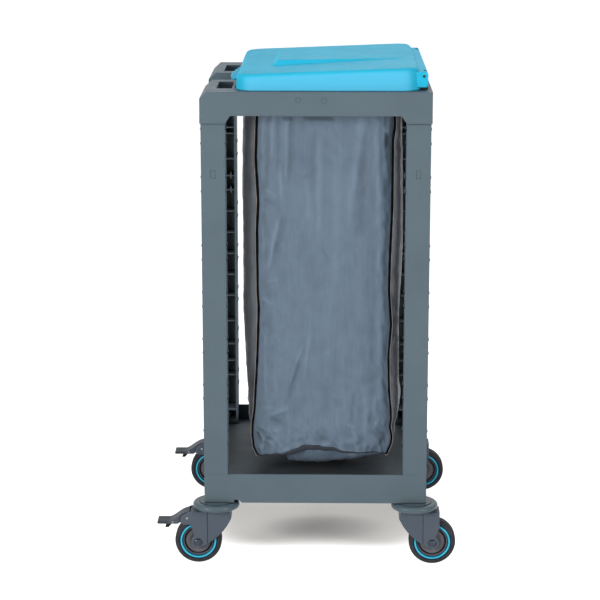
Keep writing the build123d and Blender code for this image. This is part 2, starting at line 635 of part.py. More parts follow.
def lug_slot(side):
    """Room in the lid for one hinge lug over the whole swing."""
    y0 = side * LUG_PLACE - LUG_THICK / 2 - AIR_GAP
    y1 = y0 + LUG_THICK + 2 * AIR_GAP
    reach = LUG_BASE / 2 + AIR_GAP
    slot = block(HINGE_X - reach, HINGE_X + 2 * reach, y0, y1, LID_BOTTOM - LID_GAP, HINGE_Z)
    swing = Cylinder(LUG_RADIUS + AIR_GAP, LUG_THICK + 2 * AIR_GAP)
    slot += Pos(0, side * LUG_PLACE, 0) * crosswise(swing, HINGE_X, HINGE_Z)
    return slot + block(HINGE_X, HINGE_X + 2 * reach, y0, y1, HINGE_Z, HINGE_Z + 2 * BARREL_RISE)


def lift_tab():
    """Wedge at the lid's left end with finger ridges across its slope."""
    root_x = LID_LEFT + LID_WALL / 2
    tip_x = LID_LEFT - TAB_REACH
    low = LID_BOTTOM - TAB_SINK
    tip_top = low + TAB_TIP
    root_top = LID_BOTTOM + TAB_ROOT
    lip_x = tip_x + TAB_LIP
    tab = side_prism([(root_x, LID_BOTTOM), (lip_x + TAB_SINK / 2, LID_BOTTOM), (lip_x, low), (tip_x, low),
                      (tip_x, tip_top), (root_x, root_top)], -TAB_HALF, TAB_HALF)
    ridge = Cylinder(TAB_RIDGE_RADIUS, 2 * (TAB_HALF - TAB_RIDGE_MARGIN))
    for i in range(TAB_RIDGES):
        share = i / TAB_RIDGES
        tab += crosswise(ridge, tip_x + share * (root_x - tip_x), tip_top + share * (root_top - tip_top))
    return tab


def make_lid():
    """Lid shell with its raised panel, hinge barrel and lift tab."""
    lid = lid_form(0) + hinge_barrel() + lift_tab() - lid_form(LID_WALL)
    for side in (-1, 1):
        lid -= lug_slot(side)
    return lid


def make_hinge_pins():
    """Two pins, one pushed in from each end of the barrel."""
    pin = Cylinder(HINGE_PIN_RADIUS, HINGE_PIN_LENGTH)
    reach = BARREL_HALF - HINGE_PIN_RECESS - HINGE_PIN_LENGTH / 2
    return [Pos(0, side * reach, 0) * crosswise(pin, HINGE_X, HINGE_Z) for side in (-1, 1)]


# Bag


def bag_section(front_half, side_half, side_flat, half_depth, z):
    """Plan of the bag: straight front, back and sides, joined by arcs that leave the sides smoothly."""
    front_right = (front_half, -half_depth)
    front_left = (-front_half, -half_depth)
    back_right = (front_half, half_depth)
    back_left = (-front_half, half_depth)
    outline = [
        Line(front_left, front_right),
        TangentArc((side_half, -side_flat), front_right, tangent=(0, -1)),
        Line((side_half, -side_flat), (side_half, side_flat)),
        TangentArc((side_half, side_flat), back_right, tangent=(0, 1)),
        Line(back_right, back_left),
        TangentArc((-side_half, side_flat), back_left, tangent=(0, 1)),
        Line((-side_half, side_flat), (-side_half, -side_flat)),
        TangentArc((-side_half, -side_flat), front_left, tangent=(0, -1)),
    ]
    return Pos(OPENING_MIDDLE, 0, z) * make_face(outline)


def bag_form(inset):
    """Bag as a full solid, drawn in by an inset, from its sagging base to its mouth."""
    bottom = BAG_BOTTOM + inset
    mouth_side = (OPENING_RIGHT - OPENING_LEFT) / 2 - LEDGE_WIDTH - AIR_GAP - inset
    mouth_depth = OPENING_HALF - LEDGE_WIDTH - AIR_GAP - inset
    corner = BAG_MOUTH_CORNER - inset
    front, side = BAG_FRONT_HALF - inset, BAG_SIDE_HALF - inset
    half_depth = BAG_HALF_DEPTH - inset
    sunk = BAG_BASE_INSET
    sections = [
        bag_section(front - sunk, side - sunk, BAG_SIDE_FLAT - sunk, half_depth - sunk, bottom),
        bag_section(front, side, BAG_SIDE_FLAT, half_depth, bottom + BAG_BASE_RISE),
        bag_section(front, side, BAG_SIDE_FLAT, half_depth, LEDGE_TOP - LEDGE_THICK - BAG_NECK),
        bag_section(mouth_side - corner, mouth_side, mouth_depth - corner, mouth_depth, LEDGE_TOP - LEDGE_THICK),
        bag_section(mouth_side - corner, mouth_side, mouth_depth - corner, mouth_depth, HEM_Z + BAG_HEM),
    ]
    return loft(sections, ruled=True)


def make_bag():
    """Open bag whose hem lies on the hoop."""
    edge = LEDGE_WIDTH - AIR_GAP
    half_x = (OPENING_RIGHT - OPENING_LEFT) / 2 - LEDGE_WIDTH + edge
    half_y = OPENING_HALF - LEDGE_WIDTH + edge
    hem = rounded_block(OPENING_MIDDLE - half_x, OPENING_MIDDLE + half_x, -half_y, half_y, HEM_Z, HEM_Z + BAG_HEM,
                        OPENING_CORNER)
    return bag_form(0) + hem - bag_form(BAG_WALL)


def make_hoop():
    """Wire hoop in the bag's hem, which rests on the ledge."""
    inset = LEDGE_WIDTH / 2
    width = OPENING_RIGHT - OPENING_LEFT - 2 * inset
    path = Pos(OPENING_MIDDLE, 0, HOOP_Z) * RectangleRounded(width, 2 * (OPENING_HALF - inset), HOOP_CORNER).wire()
    return sweep(Plane(origin=path @ 0, z_dir=path % 0) * Circle(HOOP_RADIUS), path)


# Castors, made about the stem axis with the wheel trailing towards +X


def fork_outline():
    """Side of the fork: straight crown, curved back, waisted leg, round lobe at the axle."""
    back_low = (-FORK_BACK, FORK_TOP - FORK_SHOULDER)
    axle_low = (CASTOR_TRAIL, WHEEL_RADIUS - AXLE_LOBE)
    turn = radians(LOBE_TURN)
    lobe_end = (CASTOR_TRAIL + AXLE_LOBE * cos(turn), WHEEL_RADIUS + AXLE_LOBE * sin(turn))
    waist_low = (lobe_end[0] - LEG_EASE * sin(turn), lobe_end[1] + LEG_EASE * cos(turn))
    root = (CASTOR_TRAIL + AXLE_LOBE, WHEEL_RADIUS + LEG_ROOT)
    waist_high = (root[0], root[1] - LEG_EASE)
    crown_end = (CASTOR_TRAIL + AXLE_LOBE, FORK_TOP)
    crown_back = (FORK_LEAN - FORK_BACK, FORK_TOP)
    outline = [
        Line(crown_back, back_low),
        SagittaArc(back_low, axle_low, -FORK_BELLY),
        CenterArc((CASTOR_TRAIL, WHEEL_RADIUS), AXLE_LOBE, -90, 90 + LOBE_TURN),
        Bezier(lobe_end, waist_low, waist_high, root),
        Polyline(root, crown_end, crown_back),
    ]
    return make_face(outline)


def brake_ear():
    """Extra outline of a braked fork, on both sides of the pedal's pivot."""
    root_x, crown_x = CASTOR_TRAIL, CASTOR_TRAIL + AXLE_LOBE
    tip = PIVOT_REACH + EAR_REACH
    low = PIVOT_HEIGHT - EAR_DROP
    top = PIVOT_HEIGHT + EAR_RISE
    ear = make_face(Polyline(
        (root_x, low), (tip - EAR_CUT, low), (tip, low + EAR_CUT), (tip - EAR_CUT / 3, top - EAR_CUT),
        (tip - 2 * EAR_CUT, top), (crown_x, FORK_TOP), (root_x, FORK_TOP), close=True))
    return fillet(ear.vertices().sort_by(Axis.X)[-4:], EAR_ROUND)


def fork_slab(outline):
    """Fork's outline drawn out to both sides, with rounded outer edges."""
    slab = extrude(Plane.XZ * outline, FORK_HALF, both=True)
    return fillet(slab.faces().filter_by(Axis.Y).edges(), FORK_EDGE)


def make_fork(braked):
    """Moulded fork: crown, two cheeks and the well for the wheel."""
    outline = fork_outline()
    if braked:
        outline += brake_ear()
    slab = fork_slab(outline)
    proud = PAD_HALF - FORK_HALF
    pads = Pos(0, proud, 0) * slab + Pos(0, -proud, 0) * slab
    fork = slab + (pads & block(PAD_START, PEDAL_REACH, -PAD_HALF, PAD_HALF, 0, FORK_TOP))
    fork -= crosswise(Cylinder(WHEEL_RADIUS + WHEEL_WELL_GAP, 2 * WELL_HALF), CASTOR_TRAIL, WHEEL_RADIUS)
    if braked:
        fork -= block(CASTOR_TRAIL + AXLE_LOBE, PEDAL_REACH, -WELL_HALF, WELL_HALF, WHEEL_RADIUS, FORK_TOP)
        fork -= crosswise(Cylinder(PIN_RADIUS + SEAT_FIT, 2 * PAD_HALF), PIVOT_REACH, PIVOT_HEIGHT)
    fork -= crosswise(Cylinder(AXLE_RADIUS + SEAT_FIT, 2 * PAD_HALF), CASTOR_TRAIL, WHEEL_RADIUS)

    down = (Align.CENTER, Align.CENTER, Align.MAX)
    fork -= Pos(0, 0, FORK_TOP) * Cylinder(STEM_RADIUS + RUNNING_FIT, FORK_TOP, align=down)
    fork -= Pos(0, 0, FORK_TOP) * Cylinder(RACE_RADIUS + AIR_GAP, RACE_HEIGHT - RACE_PROUD + AIR_GAP, align=down)
    fork -= Pos(0, 0, FORK_TOP - STEM_HEAD_SEAT) * Cylinder(STEM_HEAD_RADIUS + AIR_GAP, FORK_TOP, align=down)
    return fork


def make_stem():
    """Kingpin: a head under the fork's crown and a shank up through bumper, tray and upright."""
    head_top = FORK_TOP - STEM_HEAD_SEAT - AIR_GAP
    end = TRAY_FLOOR + FOOT_PLATE + STEM_NUT + STEM_END
    head_bottom = head_top - STEM_HEAD
    return turned([(0, head_bottom), (STEM_HEAD_RADIUS, head_bottom), (STEM_HEAD_RADIUS, head_top),
                   (STEM_RADIUS, head_top), (STEM_RADIUS, end), (0, end)])


def make_stem_nut():
    """Nut on the stem's end, inside the upright's foot."""
    flat = RegularPolygon(STEM_NUT_FLATS / 2, 6, major_radius=False) - Circle(STEM_RADIUS + SEAT_FIT)
    return extrude(Pos(0, 0, TRAY_FLOOR + FOOT_PLATE) * flat, STEM_NUT)


def make_race():
    """Swivel bearing: upper race with a groove for the balls."""
    top = FORK_TOP + RACE_PROUD
    bottom = top - RACE_HEIGHT
    inner = STEM_RADIUS + SEAT_FIT
    middle = (inner + RACE_RADIUS) / 2
    race = turned([(inner, bottom), (RACE_RADIUS, bottom), (RACE_RADIUS, top), (inner, top)])
    groove = Plane.XZ * Pos(middle, bottom) * Circle(RACE_GROOVE)
    return race - revolve(groove, Axis.Z)


def make_bumper():
    """Round bumper with a full-round rim, clamped between the swivel bearing and the tray."""
    bore = STEM_RADIUS + PUSH_FIT
    low = BUMPER_BOTTOM + BUMPER_HUB_DROP
    top = low + 2 * BUMPER_RIM
    rim = BUMPER_RADIUS - BUMPER_RIM
    outline = [
        Polyline((rim, top), (BUMPER_BOSS, top), (BUMPER_BOSS, TRAY_BOTTOM), (bore, TRAY_BOTTOM),
                 (bore, BUMPER_BOTTOM), (BUMPER_HUB, BUMPER_BOTTOM), (BUMPER_HUB + BUMPER_HUB_DROP, low), (rim, low)),
        ThreePointArc((rim, low), (BUMPER_RADIUS, low + BUMPER_RIM), (rim, top)),
    ]
    return revolve(Plane.XZ * make_face(outline), Axis.Z)


def on_axle(part):
    """Part made about the Z axis, laid on the wheel's axle."""
    return crosswise(part, CASTOR_TRAIL, WHEEL_RADIUS)


def make_tyre():
    """Solid tyre with rounded shoulders."""
    side, tread = WHEEL_HALF, TREAD_WIDTH / 2
    shoulder = WHEEL_RADIUS - (side - tread)
    outline = [
        Polyline((shoulder, -side), (TYRE_INNER, -side), (TYRE_INNER, side), (shoulder, side)),
        RadiusArc((shoulder, side), (WHEEL_RADIUS, tread), side - tread),
        Line((WHEEL_RADIUS, tread), (WHEEL_RADIUS, -tread)),
        RadiusArc((WHEEL_RADIUS, -tread), (shoulder, -side), side - tread),
    ]
    return on_axle(revolve(Plane.XZ * make_face(outline), Axis.Z))


def make_ring():
    """Coloured rim ring, with rounded sides."""
    outer = TYRE_INNER - SEAT_FIT
    half = WHEEL_HALF - RING_BULGE
    middle = (RING_INNER + outer) / 2
    outline = [
        Line((RING_INNER, half), (RING_INNER, -half)),
        ThreePointArc((RING_INNER, -half), (middle, -half - RING_BULGE), (outer, -half)),
        Line((outer, -half), (outer, half)),
        ThreePointArc((outer, half), (middle, half + RING_BULGE), (RING_INNER, half)),
    ]
    return on_axle(revolve(Plane.XZ * make_face(outline), Axis.Z))


def make_hub():
    """Wheel centre: boss for the bearings, raised face, web and rim."""
    rim = RING_INNER - SEAT_FIT
    seat = BEARING_RADIUS + SEAT_FIT
    end, face, web = HUB_LENGTH / 2, HUB_FACE / 2, HUB_WEB / 2
    edge = WHEEL_HALF - RING_BULGE
    stop = bearing_end() - BEARING_LENGTH
    half = [(seat, end), (HUB_BOSS, end), (HUB_BOSS, face), (HUB_DISC, face), (HUB_DISC, web), (HUB_RIM, web),
            (HUB_RIM, edge), (rim, edge)]
    bore = [(BEARING_STOP, stop), (seat, stop)]
    top = bore + half
    bottom = [(r, -z) for r, z in reversed(top)]
    return on_axle(turned(top + bottom))


def bearing_end():
    """Outer end of a wheel bearing, along the axle from the wheel's middle."""
    return WELL_HALF - AIR_GAP


def make_wheel_bearings():
    """Pair of bearings in the hub."""
    end = bearing_end()
    start = end - BEARING_LENGTH
    inner = AXLE_RADIUS + RUNNING_FIT
    ring = turned([(inner, start), (BEARING_RADIUS, start), (BEARING_RADIUS, end), (inner, end)])
    return [on_axle(ring), on_axle(mirror(ring, about=Plane.XY))]


def make_axle():
    """Axle bolt and its nut."""
    tip = PAD_HALF + NUT_HEIGHT
    hexagon = Rot(0, 0, 30) * RegularPolygon(NUT_FLATS / 2, 6, major_radius=False)
    rim = NUT_FLATS / 2 + BOLT_CHAMFER
    end = PAD_HALF + BOLT_HEAD
    cone = turned([(0, -end), (NUT_FLATS / 2 - BOLT_CHAMFER, -end), (rim, BOLT_CHAMFER - end), (rim, -PAD_HALF),
                   (0, -PAD_HALF)])
    bolt = extrude(Pos(0, 0, -end) * hexagon, BOLT_HEAD) & cone
    bolt += turned([(0, -PAD_HALF), (AXLE_RADIUS, -PAD_HALF), (AXLE_RADIUS, tip), (0, tip)])
    nut = extrude(Pos(0, 0, PAD_HALF) * (hexagon - Circle(AXLE_RADIUS + SEAT_FIT)), NUT_HEIGHT)
    return [on_axle(Rot(180, 0, 0) * bolt), on_axle(Rot(180, 0, 0) * nut)]


# Brakes


def pedal_side():
    """Side of the pedal's lever: S-shaped back, level toe with a hook under it, underside clear of the wheel."""
    toe_start = PEDAL_REACH - PEDAL_TOE
    low = PEDAL_TIP - PEDAL_THICK
    crest = (PIVOT_REACH - PEDAL_HUB + SPRING_THICK, PIVOT_HEIGHT + PEDAL_CREST)
    toe = (toe_start, PEDAL_TIP)
    back = Bezier(crest, (crest[0] + PEDAL_LEAD, crest[1]), (toe_start - PEDAL_EASE, PEDAL_TIP), toe)
    hook = PEDAL_REACH - HOOK_START
    hook_low = low - HOOK_DROP
    under = Polyline(
        toe, (PEDAL_REACH, PEDAL_TIP), (PEDAL_REACH, low), (hook, low), (hook + HOOK_SLANT, hook_low),
        (hook + HOOK_SLANT - HOOK_WIDTH, hook_low), (hook + HOOK_SLANT - 2 * HOOK_WIDTH, low),
        (PIVOT_REACH + PEDAL_BELLY, low), (PIVOT_REACH + PEDAL_THROAT, PIVOT_HEIGHT - PEDAL_RISE),
        (PIVOT_REACH, PIVOT_HEIGHT - PEDAL_HUB), (crest[0], PIVOT_HEIGHT), crest)
    side = make_face([back, under])
    return fillet(side.vertices().sort_by(Axis.X)[-2:], PEDAL_THICK / 2 - AIR_GAP)


def brake_shoe():
    """Side of the shoe on the pedal's hub, which comes down on the tyre."""
    to_axle = Vector(CASTOR_TRAIL - PIVOT_REACH, WHEEL_RADIUS - PIVOT_HEIGHT).normalized()
    nose = to_axle.rotate(Axis.Z, SHOE_LEAD) * SHOE_REACH
    side = Vector(-nose.Y, nose.X).normalized()
    centre = Vector(PIVOT_REACH, PIVOT_HEIGHT)
    return make_face(Polyline(centre + side * PEDAL_HUB, centre + nose + side * SHOE_HALF,
                              centre + nose - side * SHOE_HALF, centre - side * PEDAL_HUB, close=True))


def make_pedal():
    """Brake pedal: hub with a shoe, lever and toe."""
    hub = Pos(PIVOT_REACH, PIVOT_HEIGHT) * Circle(PEDAL_HUB)
    bore = Pos(PIVOT_REACH, PIVOT_HEIGHT) * Circle(PIN_RADIUS + RUNNING_FIT)
    toe_bore = Pos(PEDAL_REACH - TOE_PIN_REACH, PEDAL_TIP - TOE_PIN_DROP) * Circle(TOE_PIN_RADIUS + SEAT_FIT)
    side = pedal_side() + hub + brake_shoe() - bore - toe_bore
    return extrude(Plane.XZ * side, PEDAL_HALF, both=True)


def rivet(shank, head_radius, half):
    """Pin across the castor with a chamfered head on both ends."""
    head = half + PIN_HEAD
    end = [(0, head), (head_radius - PIN_HEAD / 2, head), (head_radius, half + PIN_HEAD / 2), (head_radius, half),
           (shank, half)]
    return turned(end + [(r, -z) for r, z in reversed(end)])


def make_pedal_pin():
    """Rivet that the pedal turns on."""
    return crosswise(rivet(PIN_RADIUS, PIN_HEAD_RADIUS, PAD_HALF), PIVOT_REACH, PIVOT_HEIGHT)


def make_toe_pin():
    """Small rivet across the pedal's toe."""
    pin = rivet(TOE_PIN_RADIUS, TOE_PIN_HEAD_RADIUS, PEDAL_HALF)
    return crosswise(pin, PEDAL_REACH - TOE_PIN_REACH, PEDAL_TIP - TOE_PIN_DROP)


def make_brake_spring():
    """Bent leaf on the crown's end face, which bears on the pedal's hub."""
    root = CASTOR_TRAIL + AXLE_LOBE
    nose = PIVOT_REACH - PEDAL_HUB - AIR_GAP
    top = FORK_TOP - PIN_RADIUS
    points = [(root, top), (root + SPRING_THICK, top), (root + SPRING_THICK, PIVOT_HEIGHT + PEDAL_HUB),
              (nose, PIVOT_HEIGHT), (nose - SPRING_THICK, PIVOT_HEIGHT), (root, PIVOT_HEIGHT + PEDAL_HUB)]
    return side_prism(points, -SPRING_WIDTH / 2, SPRING_WIDTH / 2)


# Assembly


def at_castor(part, sides):
    """Castor piece of the front right corner, mirrored and moved to its own corner."""
    if sides[0] < 0:
        part = mirror(part, about=Plane.YZ)
    if sides[1] > 0:
        part = mirror(part, about=Plane.XZ)
    return Pos(sides[0] * CASTOR_X, sides[1] * CASTOR_Y, 0) * part


def as_list(pieces):
    """Solids of a node, whether it is one piece or a group."""
    return pieces if isinstance(pieces, list) else [pieces]


def make_nodes():
    """Every node's solids about the uprights' middle, by name."""
    nodes = {
        "base_tray": make_tray(),
        "top_frame": make_top_frame(),
        "lid": make_lid(),
        "hinge_pins": make_hinge_pins(),
        "bag": make_bag(),
        "bag_hoop": make_hoop(),
    }
    to_corner = Pos(-HALF_WIDTH, -HALF_DEPTH, 0)
    post = to_corner * make_post()
    screw = to_corner * post_screw()
    nodes["post_screws"] = [mirrored(screw, sides) for sides in CORNERS.values()]
    nodes["stem_nuts"] = [at_castor(make_stem_nut(), sides) for sides in CORNERS.values()]

    forks = {True: make_fork(True), False: make_fork(False)}
    castor = {
        "bumper": make_bumper(),
        "castor_stem": make_stem(),
        "swivel_bearing": make_race(),
        "wheel_axle": make_axle(),
        "wheel_bearings": make_wheel_bearings(),
        "wheel_hub": make_hub(),
        "wheel_ring": make_ring(),
        "tyre": make_tyre(),
    }
    brake = {
        "brake_pedal": make_pedal(),
        "brake_pin": make_pedal_pin(),
        "toe_pin": make_toe_pin(),
        "brake_spring": make_brake_spring(),
    }
    for corner, sides in CORNERS.items():
        nodes["post_" + corner] = mirrored(post, sides)
        pieces = dict(castor)
        pieces["castor_fork"] = forks[corner in BRAKED]
        if corner in BRAKED:
            pieces.update(brake)
        for name, part in pieces.items():
            nodes[name + "_" + corner] = [at_castor(solid, sides) for solid in as_list(part)]
    return nodes


os.makedirs("parts", exist_ok=True)
for name, pieces in make_nodes().items():
    solids = [Pos(MIDDLE_X, 0, 0) * piece for piece in as_list(pieces)]
    shape = solids[0] if len(solids) == 1 else Compound(children=solids)
    export_step(shape, os.path.join("parts", name + ".step"))
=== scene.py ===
# %% [markdown]
# # A waste collection cart, dressed for its picture
#
# The cart is a grey moulded frame on castors with a nylon bag hung in its top and a bright blue lid over the bag.
# Its rigid pieces come ready made from the construction model, at their real size and in their real place. This
# lesson adds what that model can't hold: the finish of every surface, and the bag as cloth, shaped as it hangs.
# Everything is in metres, in the construction model's own frame: +Z is up, the front face looks along -Y, and the
# lid's hinge is at +X.

# %% Load the construction model
import json
import math

import bpy
import numpy as np
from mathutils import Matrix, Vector, noise


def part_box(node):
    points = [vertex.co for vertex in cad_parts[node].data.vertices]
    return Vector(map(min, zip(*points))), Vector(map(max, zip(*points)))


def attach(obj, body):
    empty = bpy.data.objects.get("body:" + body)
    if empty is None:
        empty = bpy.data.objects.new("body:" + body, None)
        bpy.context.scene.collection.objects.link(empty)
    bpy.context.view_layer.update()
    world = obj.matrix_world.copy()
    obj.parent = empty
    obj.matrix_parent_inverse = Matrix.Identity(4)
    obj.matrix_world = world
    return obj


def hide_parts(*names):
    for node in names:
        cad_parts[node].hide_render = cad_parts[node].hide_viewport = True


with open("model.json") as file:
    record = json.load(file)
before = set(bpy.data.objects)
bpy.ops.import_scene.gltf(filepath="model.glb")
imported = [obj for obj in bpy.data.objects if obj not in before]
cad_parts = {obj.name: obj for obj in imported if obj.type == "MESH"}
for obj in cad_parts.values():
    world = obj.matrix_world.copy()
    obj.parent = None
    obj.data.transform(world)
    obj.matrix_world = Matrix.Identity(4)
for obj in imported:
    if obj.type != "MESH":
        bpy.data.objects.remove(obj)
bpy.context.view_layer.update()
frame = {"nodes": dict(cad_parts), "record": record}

# %% [markdown]
# ## The camera
#
# The picture was taken from far away with a long lens, a little above the lid, so the uprights stay almost parallel.
# A lens could be guessed by eye. Here it was worked out from the cart's own straight edges, which gives the place,
# the dip below the horizon and the focal length together.

# %% Camera
CAMERA_PLACE = (0.05225, -4.3697, 1.5355)
CAMERA_DIP = 13.09  # degrees below the horizon
CAMERA_TURN = 0.92  # degrees to the left
CAMERA_LENS = 121.35  # millimetres, as the sensor
SENSOR_WIDTH = 36.0
CART_MIDDLE = (0.0, 0.0, 0.55)


def show(name, data):
    """A camera, lamp or mesh as a named piece of the scene."""
    piece = bpy.data.objects.new(name, data)
    bpy.context.scene.collection.objects.link(piece)
    return piece


camera_data = bpy.data.cameras.new("camera")
camera_data.lens = CAMERA_LENS
camera_data.sensor_width = SENSOR_WIDTH
camera = show("camera", camera_data)
camera.location = CAMERA_PLACE
camera.rotation_euler = (math.radians(90 - CAMERA_DIP), 0.0, math.radians(CAMERA_TURN))
bpy.context.scene.camera = camera
print("camera distance to the cart:", round((Vector(CAMERA_PLACE) - Vector(CART_MIDDLE)).length, 2), "m")

# %% [markdown]
# ## Colours and shader nodes
#
# Every finish below is a small network of nodes around one Principled shader. Screen colours are written as 0 to 255
# and turned into the linear light that shaders work in. One helper adds a node: each of its inputs is a constant, or a
# socket of another node, which is then joined to it. A socket knows its network, so no helper has to be told which.

# %% Colours and shader nodes
def screen_colour(red, green, blue):
    """A colour as a screen shows it, in the linear light that shaders use."""
    def linear(value):
        share = value / 255
        return share / 12.92 if share <= 0.04045 else ((share + 0.055) / 1.055) ** 2.4
    return (linear(red), linear(green), linear(blue), 1.0)


def scaled(colour, factor):
    """The same colour, lighter or darker."""
    return tuple(min(1.0, part * factor) for part in colour[:3]) + (1.0,)


def grey(value):
    """A grey in linear light, as a colour."""
    return (value, value, value, 1.0)


def fill(node, inputs):
    """Joins sockets to a node's inputs, and sets its other inputs to constants."""
    for name, value in inputs.items():
        if isinstance(value, bpy.types.NodeSocket):
            node.id_data.links.new(value, node.inputs[name])
        else:
            node.inputs[name].default_value = value


def add_node(near, kind, inputs=None, **settings):
    """A shader node in the network of another node or socket, with its settings and inputs."""
    node = near.id_data.nodes.new("ShaderNode" + kind)
    for name, value in settings.items():
        setattr(node, name, value)
    fill(node, inputs or {})
    return node


def of_two(kind, operation, first, second, output="Value"):
    """Socket with the product, the larger one or the like of two values."""
    return add_node(first, kind, {0: first, 1: second}, operation=operation).outputs[output]


print("white on a screen is", screen_colour(255, 255, 255)[:3], "in linear light")

# %% [markdown]
# ## What finishes share
#
# Hardly any surface is one flat colour. A cloud of noise can drive its colour, its roughness and a fine bump, and each
# of those has a helper here. A cloud's values crowd round one half, so two colours are spread over its middle range.

# %% What finishes share
CLOUD_RANGE = (0.3, 0.7)


def between(value, ends, low_colour, high_colour):
    """Colour socket that goes from one colour to another as a grey value rises from end to end."""
    ramp = add_node(value, "ValToRGB", {"Fac": value})
    for stop, position, colour in zip(ramp.color_ramp.elements, ends, (low_colour, high_colour)):
        stop.position = position
        stop.color = colour
    return ramp.outputs["Color"]


def mixed(share, first, second, **settings):
    """Colour socket between two colours."""
    return add_node(first, "Mix", {0: share, 6: first, 7: second}, data_type="RGBA", **settings).outputs[2]


def shader_of(material):
    """The Principled shader of a finish."""
    return material.node_tree.nodes["Principled BSDF"]


def object_place(material):
    """Vector socket with the place on the object."""
    return add_node(shader_of(material), "TexCoord").outputs["Object"]


def new_finish(name, colour, roughness, shine=0.3):
    """A material with its shader and the object's own coordinates."""
    material = bpy.data.materials.new(name)
    material.use_nodes = True
    shader = shader_of(material)
    fill(shader, {"Base Color": colour, "Roughness": roughness, "Specular IOR Level": shine})
    return material, shader, object_place(material)


def noise_at(place, scale, detail=3.0, roughness=0.5):
    """Grey cloud value, with so many lumps to the metre."""
    inputs = {"Vector": place, "Scale": scale, "Detail": detail, "Roughness": roughness}
    return add_node(place, "TexNoise", inputs).outputs["Fac"]


def stretched(place, scale):
    """Vector socket with a place stretched along its axes."""
    return add_node(place, "Mapping", {"Vector": place, "Scale": scale}).outputs["Vector"]


def soft_edges(near, radius):
    """Direction socket that is bent round each edge, as if the edge were round."""
    return add_node(near, "Bevel", {"Radius": radius}, samples=4).outputs["Normal"]


def bumped(height, strength, depth, **more_inputs):
    """Direction socket that is bent by the slope of a grey value."""
    inputs = {"Height": height, "Strength": strength, "Distance": depth, **more_inputs}
    return add_node(height, "Bump", inputs).outputs["Normal"]


print("clouds are used from", CLOUD_RANGE[0], "to", CLOUD_RANGE[1])

# %% [markdown]
# ## Moulded plastic
#
# The frame, the lid, the bumpers and the castors are injection moulded. Such plastic has a fine spark-eroded grain,
# faint clouds where the melt flowed, and edges that are slightly round. The round edges could be modelled, but the
# construction parts stay as they are, so the Bevel node bends the shading near each edge instead. Comparing that bent
# direction with the true one finds the edges, which get a paler painted highlight. The Ambient Occlusion node finds the
# deep recesses and the narrow joints between parts, and paints shade there, brownish in the recesses.

# %% Moulded plastic
GRAIN_PER_METRE, GRAIN_STRENGTH = 1500.0, 0.35
GLOSS_PER_METRE, GLOSS_SPREAD = 40.0, 0.05
FLOW_PER_METRE, FLOW_SPREAD = 9.0, 0.05
EDGE_SPREAD = 1.06  # painted highlight: palest edges over the others
EDGE_LIKENESS = (0.80, 0.995)  # of the bent and the true direction, at an edge and away from it
# painted shade: how near its walls are in metres, what it leaves of the colour, and the open share where it is darkest
# and gone
RECESS = (0.050, (0.49, 0.44, 0.41, 1.0), (0.25, 0.92))
JOINT = (0.004, grey(0.15), (0.45, 0.90))


def shaded_near_walls(finish, depth, tone, open_share):
    """Colour socket of a finish with painted shade where other walls are near."""
    recess = add_node(finish, "AmbientOcclusion", {"Distance": depth}, samples=8).outputs["AO"]
    return mixed(between(recess, open_share, grey(1), grey(0)), finish, tone, blend_type="MULTIPLY")


def moulded_plastic(name, colour, roughness, grain_depth, edge_radius, edge_highlight=1.18, shine=0.12, painted_shade=(JOINT,)):
    """Grained plastic with soft edges that carry a painted highlight, and painted shade in its joints and recesses."""
    material, shader, place = new_finish(name, colour, roughness, shine)
    flow = noise_at(place, FLOW_PER_METRE)
    tint = between(flow, CLOUD_RANGE, scaled(colour, 1 - FLOW_SPREAD), scaled(colour, 1 + FLOW_SPREAD))
    # painted highlight: the colour is paler near each edge
    painted_edge_highlight = between(flow, CLOUD_RANGE, scaled(colour, edge_highlight), scaled(colour, edge_highlight * EDGE_SPREAD))
    soft = soft_edges(place, edge_radius)
    alike = of_two("VectorMath", "DOT_PRODUCT", soft, add_node(place, "NewGeometry").outputs["Normal"])
    finish = mixed(between(alike, EDGE_LIKENESS, grey(1), grey(0)), tint, painted_edge_highlight)
    # painted shade: darker where the Ambient Occlusion node finds walls near
    for place_of_shade in painted_shade:
        finish = shaded_near_walls(finish, *place_of_shade)
    gloss = noise_at(place, GLOSS_PER_METRE)
    roughnesses = grey(roughness - GLOSS_SPREAD), grey(roughness + GLOSS_SPREAD)
    grain = noise_at(place, GRAIN_PER_METRE, detail=2.0)
    fill(shader, {"Base Color": finish, "Roughness": between(gloss, CLOUD_RANGE, *roughnesses),
                  "Normal": bumped(grain, GRAIN_STRENGTH, grain_depth, Normal=soft)})
    return material


# name: screen colour, roughness, grain depth, edge radius, painted edge highlight, shine, places of painted shade
PLASTICS = {
    "frame_plastic": ((101, 117, 126), 0.52, 0.00012, 0.0014, 1.04, 0.12, (RECESS, JOINT)),
    "lid_plastic": ((52, 208, 247), 0.48, 0.00006, 0.0030, 1.05, 0.05),
    "bumper_plastic": ((92, 109, 118), 0.22, 0.00003, 0.0006, 1.08, 0.18),
    "castor_plastic": ((92, 101, 113), 0.45, 0.00010, 0.0012),
    "hub_plastic": ((112, 110, 114), 0.48, 0.00010, 0.0010),
    "pedal_plastic": ((90, 96, 106), 0.50, 0.00010, 0.0012),
    "ring_plastic": ((82, 212, 240), 0.30, 0.00004, 0.0006, 1.05),
}
finishes = {name: moulded_plastic(name, screen_colour(*colour), *numbers)
            for name, (colour, *numbers) in PLASTICS.items()}
print("plastics:", list(finishes))
